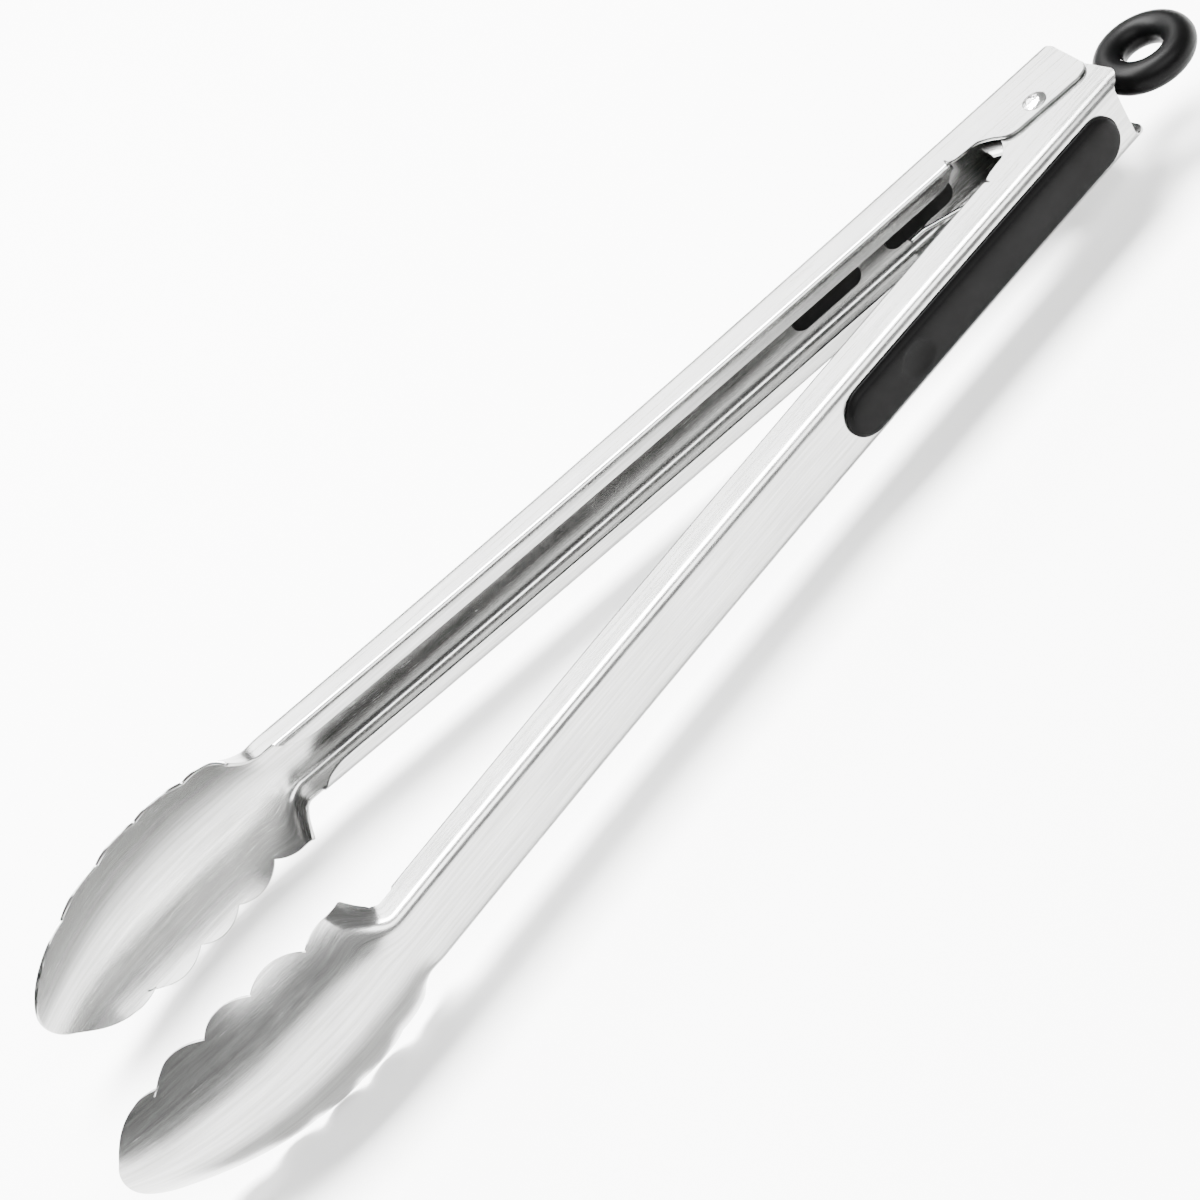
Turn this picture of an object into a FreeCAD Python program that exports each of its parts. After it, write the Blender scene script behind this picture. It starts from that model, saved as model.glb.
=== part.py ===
"""Spring loaded kitchen tongs with scalloped jaws, soft grips, a lock slide and a hanging ring.

All sizes are in millimetres. Each arm is drawn in its own frame: X runs from the hinge axis to the
jaw, Y points away from the other arm, Z lies along the hinge axis. The far arm is the mirror image
of that frame. The finished tongs lie on their side with Z up, and the origin is the middle of the
underside of the bounding box.
"""
import FreeCAD
import Part
import Sketcher
import math
import os

from FreeCAD import Placement, Rotation, Vector

doc = FreeCAD.newDocument("tongs")
sheet = doc.addObject("Spreadsheet::Sheet", "sizes")

SIZES = [
    ("sheet_thick", 1.0, "thickness of the stamped arm sheet"),
    ("open_half", 6.81, "half of the opening angle at rest, degrees"),
    ("far_half", 12.0, "half of the width of the far arm"),
    ("ear_clear", 0.15, "gap between one far ear and the near ear inside it"),
    ("back_mid", 14.2, "outer back wall to the mirror plane at mid arm"),
    ("bow_rise", 3.0, "how far the back bows out at the hinge"),
    ("bow_place", 170.0, "distance of the flattest point from the hinge"),
    ("depth_root", 13.2, "depth of the channel at the hinge"),
    ("depth_neck", 10.6, "depth of the channel at the neck"),
    ("neck_place", 272.0, "where the channel ends and the jaw begins"),
    ("bend_back", 3.0, "outer bend radius at the back wall"),
    ("bend_lip", 1.5, "outer bend radius at the lip"),
    ("lip_width", 5.4, "width of the lip turned in at the open side"),
    ("lip_start", 29.0, "where the lips begin"),
    ("ear_end", 16.5, "how far the side walls run behind the hinge"),
    ("ear_reach", 4.6, "how far the ears pass the hinge axis"),
    ("ear_round", 5.0, "corner radius of the ears"),
    ("pin_radius", 2.0, "radius of the rivet shank"),
    ("pin_clear", 0.05, "radial clearance round the shank"),
    ("rivet_head", 3.45, "radius of the rivet heads"),
    ("rivet_dome", 1.2, "height of the rivet heads"),
    ("slot_start", 27.0, "start of the first grip slot"),
    ("slot_length", 24.4, "length of each grip slot"),
    ("slot_gap", 9.8, "metal between the grip slots"),
    ("slot_half", 6.4, "half of the width of a grip slot"),
    ("slot_round", 3.4, "corner radius of a grip slot"),
    ("grip_start", -7.0, "hinge end of the grip"),
    ("grip_end", 104.0, "jaw end of the grip"),
    ("grip_half", 7.7, "half of the width of the grip"),
    ("grip_rise", 2.8, "how far the grip stands out of the back wall"),
    ("grip_edge", 1.5, "rounding of the outer edge of the grip"),
    ("core_inset", 1.2, "how far the grip core lies inside the grip"),
    ("core_thick", 1.3, "thickness of the grip core"),
    ("lug_inside", 0.6, "how far the core lugs stand inside the channel"),
    ("lug_clear", 0.05, "gap round each lug in its slot"),
    ("dimple_place", 78.0, "middle of the thumb dimple"),
    ("dimple_radius", 5.6, "radius of the thumb dimple"),
    ("dimple_depth", 1.1, "depth of the thumb dimple"),
    ("seam_step", 0.08, "step where the sheet of the jaw leaves the channel"),
    ("jaw_length", 94.0, "neck to the tip of the jaw"),
    ("bush_radius", 3.4, "outer radius of the spacer bush"),
    ("bush_clear", 0.1, "end gap of the spacer bush"),
    ("wire_radius", 0.7, "radius of the spring wire"),
    ("coil_radius", 4.7, "radius of the middle of the spring coil"),
    ("coil_height", 15.0, "height between the two legs of the spring"),
    ("leg_place", 40.0, "where each spring leg presses on its arm"),
    ("slide_thick", 1.0, "thickness of the lock slide sheet"),
    ("slide_gap", 0.25, "gap between the lock slide and the near ears"),
    ("slide_half", 5.6, "half of the height of the lock slide flanges"),
    ("slide_travel", 9.0, "travel of the lock slide"),
    ("slide_front", 18.0, "front end of the lock slide flanges"),
    ("slot_play", 0.2, "gap between the bush and the slot of the lock slide"),
    ("ring_place", 33.2, "middle of the hanging ring behind the hinge"),
    ("ring_radius", 9.95, "radius of the middle line of the ring"),
    ("ring_tube", 4.6, "radius of the ring cord"),
    ("ring_bore", 5.5, "radius of the flat land inside the ring"),
]
for row, (alias, value, meaning) in enumerate(SIZES, start=1):
    sheet.set(f"A{row}", meaning)
    sheet.set(f"B{row}", str(value))
    sheet.setAlias(f"B{row}", alias)
doc.recompute()


def size(alias):
    """Returns one driving size as a plain number."""
    return float(sheet.get(alias))


THICK = size("sheet_thick")
NEAR_HALF = size("far_half") - THICK - size("ear_clear")
OVERRUN = 30.0


# --- curves of the arm -------------------------------------------------------------------------

def back_at(x):
    """Outer face of the back wall at x: a shallow bow."""
    reach = (x - size("bow_place")) / size("bow_place")
    return size("back_mid") + size("bow_rise") * reach * reach


def front_at(x):
    """Outer face of the lips at x: the back wall less the depth of the channel."""
    share = x / size("neck_place")
    return back_at(x) - size("depth_root") - (size("depth_neck") - size("depth_root")) * share


def bowed_prism(low, high, start, end, half):
    """Solid between two bowed curves, from start to end along X and from -half to half along Z."""
    middle = (start + end) / 2.0

    def edge(curve, first, last):
        points = [Vector(x, curve(x), -half) for x in (first, middle, last)]
        return Part.Arc(*points).toShape()

    upper = edge(high, start, end)
    lower = edge(low, end, start)
    right = Part.makeLine(Vector(end, high(end), -half), Vector(end, low(end), -half))
    left = Part.makeLine(Vector(start, low(start), -half), Vector(start, high(start), -half))
    face = Part.Face(Part.Wire([upper, right, lower, left]))
    return face.extrude(Vector(0, 0, 2 * half))


def long_edges(solid, curve, half, length):
    """Edges of a bowed prism that run along the given curve at Z = half and Z = -half."""
    found = []
    for edge in solid.Edges:
        if edge.Length < length:
            continue
        middle = edge.valueAt((edge.FirstParameter + edge.LastParameter) / 2.0)
        on_side = abs(abs(middle.z) - half) < 1e-6
        if on_side and abs(middle.y - curve(middle.x)) < 0.4:
            found.append(edge)
    return found


def smooth_wire(points):
    """Open smooth curve through the points, as an edge."""
    curve = Part.BSplineCurve()
    curve.interpolate(points)
    return curve.toShape()


def closed_prism(edges, along):
    """Solid swept from a closed chain of edges."""
    return Part.Face(Part.Wire(edges)).extrude(along)


def rounded_block(start, end, half, radius, low, high):
    """Block with rounded corners in plan: X from start to end, Z from -half to half."""
    block = Part.makeBox(end - start, high - low, 2 * half, Vector(start, low, -half))
    corners = [e for e in block.Edges if abs(e.Vertexes[0].Point.y - e.Vertexes[1].Point.y) > 1e-6]
    return block.makeFillet(radius, corners)


# --- stamped arms ------------------------------------------------------------------------------

def channel(half):
    """The lipped channel of one arm, from behind the hinge to the neck."""
    start = -size("ear_end")
    end = size("neck_place")
    outer = bowed_prism(front_at, back_at, start, end, half)
    outer = outer.makeFillet(size("bend_back"), long_edges(outer, back_at, half, 100.0))
    outer = outer.makeFillet(size("bend_lip"), long_edges(outer, front_at, half, 100.0))

    def inner_back(x):
        return back_at(x) - THICK

    def inner_front(x):
        return front_at(x) + THICK

    inner_half = half - THICK
    inner = bowed_prism(inner_front, inner_back, start - 5.0, end + 5.0, inner_half)
    inner = inner.makeFillet(size("bend_back") - THICK, long_edges(inner, inner_back, inner_half, 100.0))
    inner = inner.makeFillet(size("bend_lip") - THICK, long_edges(inner, inner_front, inner_half, 100.0))
    return outer.cut(inner)


def mouth_cut(half):
    """What is cut away between the lips, flaring out at the neck and at the hinge end."""
    lip_edge = half - size("lip_width")
    wide = half + 1.0
    neck = size("neck_place")
    start = size("lip_start")
    main = Part.makeBox(neck - start, OVERRUN + 8.0, 2 * lip_edge, Vector(start, -OVERRUN, -lip_edge))
    flares = [
        (neck - 16.0, neck - 2.0, neck + 8.0, front_at(neck) + size("bend_lip")),
        (start + 5.0, start - 3.0, -size("ear_end") - 5.0, front_at(-size("ear_end")) + size("bend_lip")),
    ]
    cut = main
    for first, last, beyond, level in flares:
        step = last - first
        rise = [
            (first, lip_edge),
            (first + 0.3 * step, lip_edge + 0.35),
            (first + 0.62 * step, lip_edge + 1.9),
            (first + 0.86 * step, half - 0.8),
            (last, wide),
        ]
        upper = smooth_wire([Vector(x, -OVERRUN, z) for x, z in rise])
        lower = smooth_wire([Vector(x, -OVERRUN, -z) for x, z in reversed(rise)])
        outer = Part.makePolygon([
            Vector(last, -OVERRUN, wide),
            Vector(beyond, -OVERRUN, wide),
            Vector(beyond, -OVERRUN, -wide),
            Vector(last, -OVERRUN, -wide),
        ])
        inner = Part.makeLine(Vector(first, -OVERRUN, -lip_edge), Vector(first, -OVERRUN, lip_edge))
        edges = [upper] + outer.Edges + [lower, inner]
        cut = cut.fuse(closed_prism(edges, Vector(0, OVERRUN + level, 0)))
    return cut


def ear_plate(bottom):
    """One ear, in the plane of a side wall whose lower face is at Z = bottom."""
    end = -size("ear_end")
    reach = -size("ear_reach")
    round_ = size("ear_round")
    start = size("lip_start") + 1.0
    level = front_at(start) + 0.1
    rise = [
        Vector(start - 8.0, level, bottom),
        Vector(start - 11.5, level - 0.35, bottom),
        Vector(start - 15.0, level - 3.3, bottom),
        Vector(start - 17.5, level - 6.6, bottom),
        Vector(start - 20.5, reach + 0.15, bottom),
        Vector(start - 23.5, reach, bottom),
    ]
    corner = math.sqrt(0.5) * round_
    turn = Part.Arc(
        Vector(end + round_, reach, bottom),
        Vector(end + round_ - corner, reach + round_ - corner, bottom),
        Vector(end, reach + round_, bottom),
    )
    chain = [
        Part.makeLine(Vector(start, back_at(start) - 5.0, bottom), Vector(start, level, bottom)),
        Part.makeLine(Vector(start, level, bottom), rise[0]),
        smooth_wire(rise),
        Part.makeLine(rise[-1], Vector(end + round_, reach, bottom)),
        turn.toShape(),
        Part.makeLine(Vector(end, reach + round_, bottom), Vector(end, back_at(end) - 5.0, bottom)),
        Part.makeLine(
            Vector(end, back_at(end) - 5.0, bottom),
            Vector(start, back_at(start) - 5.0, bottom),
        ),
    ]
    return closed_prism(chain, Vector(0, 0, THICK))


def rear_trim(half):
    """What is cut from the rear corner of the back wall to round it."""
    end = -size("ear_end")
    round_ = size("ear_round")
    top = back_at(end) + 1.0
    centre_y = back_at(end + round_) - round_
    corner = math.sqrt(0.5) * round_
    turn = Part.Arc(
        Vector(end, centre_y, -half - 1.0),
        Vector(end + round_ - corner, centre_y + corner, -half - 1.0),
        Vector(end + round_, centre_y + round_, -half - 1.0),
    )
    outer = Part.makePolygon([
        Vector(end + round_, centre_y + round_, -half - 1.0),
        Vector(end + round_, top, -half - 1.0),
        Vector(end - 1.0, top, -half - 1.0),
        Vector(end - 1.0, centre_y, -half - 1.0),
        Vector(end, centre_y, -half - 1.0),
    ])
    return closed_prism([turn.toShape()] + outer.Edges, Vector(0, 0, 2 * half + 2.0))


def slot_tool(clear, low, high):
    """The two grip slots as solids, grown or shrunk by clear on every side."""
    tools = []
    for number in range(2):
        start = size("slot_start") + number * (size("slot_length") + size("slot_gap"))
        tools.append(rounded_block(
            start - clear,
            start + size("slot_length") + clear,
            size("slot_half") + clear,
            size("slot_round") + clear,
            low,
            high,
        ))
    return tools


# --- scalloped jaw -----------------------------------------------------------------------------

# Places along the jaw after the neck: station, middle line height, curl, half width of the sheet.
# Heights are measured from the mirror plane; curl is the drop to the rim over the width squared.
JAW = [
    (-15.0, 15.30, 0.0420, 13.0),
    (-1.0, 15.30, 0.0420, 17.0),
    (4.0, 15.50, 0.0340, 21.0),
    (8.5, 15.80, 0.0250, 25.0),
    (14.0, 15.95, 0.0200, 27.0),
    (21.0, 15.95, 0.0176, 26.5),
    (30.0, 15.75, 0.0168, 28.0),
    (40.0, 14.90, 0.0170, 28.0),
    (51.0, 13.10, 0.0184, 27.5),
    (62.0, 10.10, 0.0208, 26.5),
    (71.0, 6.60, 0.0240, 24.5),
    (79.0, 2.60, 0.0290, 22.0),
    (86.0, -1.90, 0.0340, 19.5),
    (92.0, -6.60, 0.0360, 17.5),
    (98.0, -12.0, 0.0360, 16.0),
    (108.0, -22.0, 0.0360, 14.0),
]
# Cusps of the scalloped rim from the neck to the tip: distance from the neck and half width.
CUSPS = [(21.6, 20.9), (37.8, 23.2), (52.7, 22.7), (68.7, 19.9), (83.8, 11.4)]
LOBE_RISE = 2.6
# Length over which the section of the channel opens into the section of the jaw, and the row spacing.
OPENING = 12.0
ROW_STEP = 3.5


def channel_section(full_half, count, x):
    """Line just inside the channel's outer face at x, from the middle of the back to the rim."""
    bend = size("bend_back")
    half = full_half - size("seam_step")
    flat = half - bend
    back = back_at(x) - size("seam_step")
    wall = back_at(x) - front_at(x) - size("bend_lip") - bend
    turn = math.pi / 2.0 * bend
    total = flat + turn + wall
    points = []
    for index in range(count):
        run = total * index / (count - 1.0)
        if run <= flat:
            points.append((run, back))
        elif run <= flat + turn:
            angle = (run - flat) / bend
            points.append((flat + bend * math.sin(angle), back - bend + bend * math.cos(angle)))
        else:
            points.append((half, back - bend - (run - flat - turn)))
    return points


def jaw_at(place):
    """Middle line height, curl and half width of the jaw at a place, on a smooth curve through JAW."""
    right = next(i for i, row in enumerate(JAW) if row[0] >= place or i == len(JAW) - 1)
    right = max(1, right)
    a, b = JAW[right - 1], JAW[right]
    before = JAW[max(0, right - 2)]
    after = JAW[min(len(JAW) - 1, right + 1)]
    span = b[0] - a[0]
    t = (place - a[0]) / span
    values = []
    for k in (1, 2, 3):
        leave = (b[k] - before[k]) / (b[0] - before[0]) * span
        arrive = (after[k] - a[k]) / (after[0] - a[0]) * span
        values.append(
            a[k] * (1.0 + 2.0 * t) * (1.0 - t) ** 2
            + leave * t * (1.0 - t) ** 2
            + b[k] * t * t * (3.0 - 2.0 * t)
            + arrive * t * t * (t - 1.0)
        )
    return values


def jaw_rows(half, count):
    """Rows of points on the outer face of the jaw, each from the lower rim to the upper rim."""
    neck = size("neck_place")
    rows = []
    for number in range(int((JAW[-1][0] - JAW[0][0]) / ROW_STEP) + 1):
        place = JAW[0][0] + number * ROW_STEP
        middle, curl, wide = jaw_at(place)
        share = min(1.0, max(0.0, (place - 1.0) / OPENING))
        blend = share * share * (3.0 - 2.0 * share)
        side = []
        for index, (z, y) in enumerate(channel_section(half, count, neck + min(place, 0.0))):
            reach = wide * index / (count - 1.0)
            side.append((
                z + (reach - z) * blend,
                y + (middle - curl * reach * reach - y) * blend,
            ))
        upper = [Vector(neck + place, y, z) for z, y in side]
        lower = [Vector(neck + place, y, -z) for z, y in side[1:]]
        rows.append(list(reversed(lower)) + upper)
    return rows


def inset_rows(rows, depth):
    """The same rows moved inwards by depth along the normals of the face."""
    moved = []
    last = len(rows) - 1
    for i, row in enumerate(rows):
        line = []
        end = len(row) - 1
        for j, point in enumerate(row):
            along = rows[min(i + 1, last)][j] - rows[max(i - 1, 0)][j]
            if i == 0:
                along = Vector(1, 0, 0)
            across = row[min(j + 1, end)] - row[max(j - 1, 0)]
            normal = along.cross(across)
            normal.normalize()
            step = normal * depth
            if i == 0:
                step.x = 0.0
            line.append(point + step)
        moved.append(line)
    return moved


def face_through(rows):
    """Smooth face through a grid of points."""
    surface = Part.BSplineSurface()
    surface.interpolate(rows)
    return surface.toShape()


def sheet_solid(rows, depth):
    """Solid sheet between the face through the rows and the face inset by depth."""
    outer = face_through(rows)
    inner = face_through(inset_rows(rows, depth))
    sides = []
    for edge in outer.Edges:
        ends = sorted(v.Point.x + 7.0 * v.Point.z for v in edge.Vertexes)
        matches = sorted(
            inner.Edges,
            key=lambda other: sum(
                abs(a - b)
                for a, b in zip(ends, sorted(v.Point.x + 7.0 * v.Point.z for v in other.Vertexes))
            ),
        )
        sides.append(Part.makeRuledSurface(edge, matches[0]))
    shell = Part.Shell([outer, inner] + sides)
    shell.sewShape()
    solid = Part.Solid(shell)
    if solid.Volume < 0:
        solid.reverse()
    return solid


def jaw_outline(half):
    """Prism through the scalloped outline of the jaw, seen along Y."""
    neck = size("neck_place")
    low = -OVERRUN
    tip = neck + size("jaw_length")
    points = [(neck + place, wide) for place, wide in CUSPS]
    lobe = Part.Circle(
        Vector(neck + 3.5, low, half),
        Vector(neck + 8.6, low, half + 8.6),
        Vector(points[0][0], low, points[0][1]),
    )
    root = (neck + 6.0, lobe.Center.z + math.sqrt(lobe.Radius ** 2 - (neck + 6.0 - lobe.Center.x) ** 2))
    clear = half + 9.0
    upper = [
        Part.makeLine(Vector(neck - 1.0, low, clear), Vector(root[0], low, clear)),
        Part.makeLine(Vector(root[0], low, clear), Vector(root[0], low, root[1])),
        Part.Arc(
            Vector(root[0], low, root[1]),
            Vector(neck + 14.0, low, lobe.Center.z + math.sqrt(
                lobe.Radius ** 2 - (neck + 14.0 - lobe.Center.x) ** 2
            )),
            Vector(points[0][0], low, points[0][1]),
        ).toShape(),
    ]
    for (xa, za), (xb, zb) in zip(points, points[1:]):
        length = math.hypot(xb - xa, zb - za)
        rise = LOBE_RISE * (length / 16.0)
        middle = Vector(
            (xa + xb) / 2.0 - (zb - za) / length * rise,
            low,
            (za + zb) / 2.0 + (xb - xa) / length * rise,
        )
        upper.append(Part.Arc(Vector(xa, low, za), middle, Vector(xb, low, zb)).toShape())
    last = points[-1]
    crown = Part.Arc(Vector(last[0], low, last[1]), Vector(tip, low, 0.0), Vector(last[0], low, -last[1]))
    lower = [edge.mirror(Vector(0, 0, 0), Vector(0, 0, 1)) for edge in upper]
    closing = Part.makeLine(Vector(neck - 1.0, low, -clear), Vector(neck - 10.0, low, clear))
    wire = Part.Wire(Part.__sortEdges__(upper + [crown.toShape()] + lower + [closing]))
    return Part.Face(wire).extrude(Vector(0, 3.0 * OVERRUN, 0))


def arm_shape(half):
    """One stamped arm: lipped channel, ears, grip slots and scalloped jaw in one sheet."""
    body = channel(half).cut(mouth_cut(half))
    body = body.cut(rear_trim(half))
    top = ear_plate(half - THICK)
    body = body.fuse([top, top.mirror(Vector(0, 0, 0), Vector(0, 0, 1))])
    low = back_at(size("slot_start")) - 8.0
    body = body.cut(slot_tool(0.0, low, low + 20.0))
    hole_radius = size("pin_radius") + size("pin_clear")
    hole = Part.makeCylinder(hole_radius, 2 * half + 4.0, Vector(0, 0, -half - 2.0))
    body = body.cut(hole)
    jaw = sheet_solid(jaw_rows(half, 17), THICK).common(jaw_outline(half))
    return body.fuse(jaw).removeSplitter()


# --- grips -------------------------------------------------------------------------------------

def stadium(inset, low, high):
    """Prism through the grip outline, with round ends, moved inwards by inset."""
    start = size("grip_start") + inset
    end = size("grip_end") - inset
    half = size("grip_half") - inset
    return rounded_block(start, end, half, half - 0.01, low, high)


def grip_layers():
    """Returns the soft grip and its hard core, drawn in the arm frame."""
    start = size("grip_start") - 5.0
    end = size("grip_end") + 5.0
    low = back_at(size("bow_place")) - 6.0
    high = back_at(start) + 12.0

    def raised(amount):
        return lambda x: back_at(x) + amount

    rise = size("grip_rise")
    block = bowed_prism(raised(0.0), raised(rise), start, end, size("grip_half") + 2.0)
    skin = block.common(stadium(0.0, low, high))
    rim = []
    for edge in skin.Edges:
        middle = edge.valueAt((edge.FirstParameter + edge.LastParameter) / 2.0)
        if abs(middle.y - back_at(middle.x) - rise) < 0.3:
            rim.append(edge)
    skin = skin.makeFillet(size("grip_edge"), rim)
    place = size("dimple_place")
    radius = size("dimple_radius")
    depth = size("dimple_depth")
    ball = (radius * radius + depth * depth) / (2.0 * depth)
    dimple = Part.makeSphere(ball, Vector(place, back_at(place) + rise - depth + ball, 0))
    skin = skin.cut(dimple)

    plate = bowed_prism(raised(0.0), raised(size("core_thick")), start, end, size("grip_half"))
    core = plate.common(stadium(size("core_inset"), low, high))
    skin = skin.cut(core)
    inner = bowed_prism(
        raised(-THICK - size("lug_inside")), raised(0.2), start, end, size("grip_half")
    )
    lugs = [inner.common(tool) for tool in slot_tool(-size("lug_clear"), low, high)]
    return skin, core.fuse(lugs).removeSplitter()


# --- spring ------------------------------------------------------------------------------------

LEG_TIP = 5.0


def leg_end(side):
    """Middle of the wire where a leg presses on its arm: side is 1 for near and -1 for far."""
    angle = math.radians(size("open_half"))
    x = size("leg_place")
    y = back_at(x) - THICK - size("wire_radius") - 0.02
    return Vector(
        x * math.cos(angle) - y * math.sin(angle),
        side * (x * math.sin(angle) + y * math.cos(angle)),
        side * size("coil_height") / 2.0,
    )


def spring_shape():
    """Torsion spring: a left handed coil round the bush with one leg for each arm."""
    radius = size("coil_radius")
    wire = size("wire_radius")
    height = size("coil_height")
    target = leg_end(1)
    distance = math.hypot(target.x, target.y)
    bearing = math.atan2(target.y, target.x)
    leave = bearing + math.acos(radius / distance)
    turns = 6 + (2.0 * math.pi - 2.0 * leave) / (2.0 * math.pi)
    helix = Part.makeHelix(height / turns, height, radius, 0, True)
    section = Part.Wire(Part.makeCircle(wire, Vector(radius, 0, 0), Vector(0, 1, 0)))
    coil = Part.Wire(helix.Edges).makePipeShell([section], True, True)
    coil.rotate(Vector(0, 0, 0), Vector(0, 0, 1), math.degrees(-leave))
    coil.translate(Vector(0, 0, -height / 2.0))
    pieces = [coil]
    slope = 2.0 * size("bow_rise") * (size("leg_place") - size("bow_place")) / size("bow_place") ** 2
    lie = math.radians(size("open_half")) + math.atan(slope)
    for side in (1, -1):
        root = Vector(radius * math.cos(leave), side * radius * math.sin(leave), side * height / 2.0)
        bend = leg_end(side)
        tip = Vector(math.cos(lie), side * math.sin(lie), 0) * LEG_TIP
        pieces.append(Part.makeCylinder(wire, (bend - root).Length, root, bend - root))
        pieces.append(Part.makeSphere(wire, bend))
        pieces.append(Part.makeCylinder(wire, LEG_TIP, bend, tip))
    return pieces[0].fuse(pieces[1:])


# --- building the document ---------------------------------------------------------------------

FAR = Rotation(Vector(0, 0, 1), -size("open_half"))
NEAR = Rotation(Vector(0, 0, 1), size("open_half"))
STRAIGHT = Rotation()
parts = {}


def feature(name, shape, turn):
    """Adds a free-form piece to the document."""
    item = doc.addObject("Part::Feature", name)
    item.Label = name
    item.Shape = shape
    parts[name] = (item, turn)


def mirrored(shape):
    """The same shape on the far side."""
    return shape.mirror(Vector(0, 0, 0), Vector(0, 1, 0))


feature("near_arm", arm_shape(NEAR_HALF), NEAR)
feature("far_arm", mirrored(arm_shape(size("far_half"))), FAR)
skin_shape, core_shape = grip_layers()
feature("near_grip", skin_shape, NEAR)
feature("near_grip_core", core_shape, NEAR)
feature("far_grip", mirrored(skin_shape), FAR)
feature("far_grip_core", mirrored(core_shape), FAR)
feature("return_spring", spring_shape(), STRAIGHT)


def new_body(name, turn):
    """A PartDesign body that becomes one named piece."""
    body = doc.addObject("PartDesign::Body", name)
    body.Label = name
    parts[name] = (body, turn)
    return body


def new_sketch(body, name, role, lift="0"):
    """A sketch on one of the body's origin planes, lifted along the plane's normal."""
    sketch = body.newObject("Sketcher::SketchObject", name)
    plane = next(item for item in body.Origin.OriginFeatures if item.Role == role)
    sketch.AttachmentSupport = [(plane, "")]
    sketch.MapMode = "FlatFace"
    sketch.setExpression("AttachmentOffset.Base.z", lift)
    return sketch


def value(text):
    """Value of an expression over the size sheet."""
    return float(sheet.evalExpression(text))


def circle(sketch, radius):
    """Adds a circle round the sketch's origin, with its radius given by an expression."""
    index = sketch.addGeometry(Part.Circle(Vector(0, 0, 0), Vector(0, 0, 1), value(radius)), False)
    sketch.addConstraint(Sketcher.Constraint("Coincident", index, 3, -1, 1))
    wide = sketch.addConstraint(Sketcher.Constraint("Radius", index, value(radius)))
    sketch.setExpression(f"Constraints[{wide}]", radius)


def polygon(sketch, corners):
    """Adds a closed polygon whose corners are pairs of expressions."""
    points = [Vector(value(x), value(y), 0) for x, y in corners]
    count = len(points)
    lines = []
    for i in range(count):
        line = Part.LineSegment(points[i], points[(i + 1) % count])
        lines.append(sketch.addGeometry(line, False))
    for i in range(count):
        sketch.addConstraint(Sketcher.Constraint("Coincident", lines[i], 2, lines[(i + 1) % count], 1))
    for i, (x, y) in enumerate(corners):
        for kind, text, start in (("DistanceX", x, points[i].x), ("DistanceY", y, points[i].y)):
            index = sketch.addConstraint(Sketcher.Constraint(kind, -1, 1, lines[i], 1, start))
            sketch.setExpression(f"Constraints[{index}]", text)


def pad(body, name, sketch, length, both=False):
    """Pads a sketch by an expression, on one side or half to each side."""
    item = body.newObject("PartDesign::Pad", name)
    item.Profile = sketch
    item.Midplane = both
    item.setExpression("Length", length)
    sketch.Visibility = False
    return item


# Rivet: a plain shank with a low domed head outside each far ear.
rivet = new_body("hinge_rivet", STRAIGHT)
profile = new_sketch(rivet, "rivet_profile", "XZ_Plane")
DOME = [
    ("sizes.rivet_head", "sizes.far_half"),
    ("sizes.rivet_head", "sizes.far_half + 0.35 * sizes.rivet_dome"),
    ("0.86 * sizes.rivet_head", "sizes.far_half + 0.74 * sizes.rivet_dome"),
    ("0.55 * sizes.rivet_head", "sizes.far_half + sizes.rivet_dome"),
    ("0", "sizes.far_half + sizes.rivet_dome"),
]
LOWER = [(x, f"-({y})") for x, y in reversed(DOME)]
polygon(profile, LOWER + [
    ("sizes.pin_radius", "-sizes.far_half"),
    ("sizes.pin_radius", "sizes.far_half"),
] + DOME)
turned = rivet.newObject("PartDesign::Revolution", "rivet_turned")
turned.Profile = profile
turned.ReferenceAxis = (profile, ["V_Axis"])
turned.Angle = 360.0

# Bush: a tube on the shank that keeps the near ears apart and carries the spring coil.
bush = new_body("spacer_bush", STRAIGHT)
tube = new_sketch(bush, "bush_ring", "XY_Plane")
circle(tube, "sizes.bush_radius")
circle(tube, "sizes.pin_radius + sizes.pin_clear")
INSIDE = "(sizes.far_half - 2 * sizes.sheet_thick - sizes.ear_clear)"
pad(bush, "bush_tube", tube, f"2 * ({INSIDE} - sizes.bush_clear)", True)

# Lock slide: two slotted flanges astride the bush, joined behind the coil by a web with a tongue.
FLANGE = f"({INSIDE} - sizes.slide_gap)"
TONGUE_TIP = "-(sizes.ring_place - sizes.ring_radius + 0.7 * sizes.ring_tube)"
TONGUE_ROOT = "-(sizes.ring_place - sizes.ring_radius - 0.6 * sizes.ring_tube)"
TONGUE_HALF = "0.7 * sizes.ring_tube"
SHOULDER = "(sizes.ring_tube + 0.1)"
slide = new_body("lock_slide", FAR)
web = new_sketch(slide, "slide_web", "XZ_Plane")
WEB_FRONT = "-(sizes.coil_radius + sizes.wire_radius + 1.4)"
upper_side = [
    (WEB_FRONT, FLANGE),
    ("-sizes.ear_end", FLANGE),
    (TONGUE_ROOT, SHOULDER),
    (TONGUE_ROOT, TONGUE_HALF),
    (TONGUE_TIP, TONGUE_HALF),
]
polygon(web, upper_side + [(x, f"-({y})") for x, y in reversed(upper_side)])
pad(slide, "slide_web_sheet", web, "sizes.slide_thick", True)
FRONT = "sizes.slide_front"
BACK = "-(sizes.ear_end - 1.0)"
HALF = "sizes.slide_half"
SLOT = "(sizes.bush_radius + sizes.slot_play)"
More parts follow.
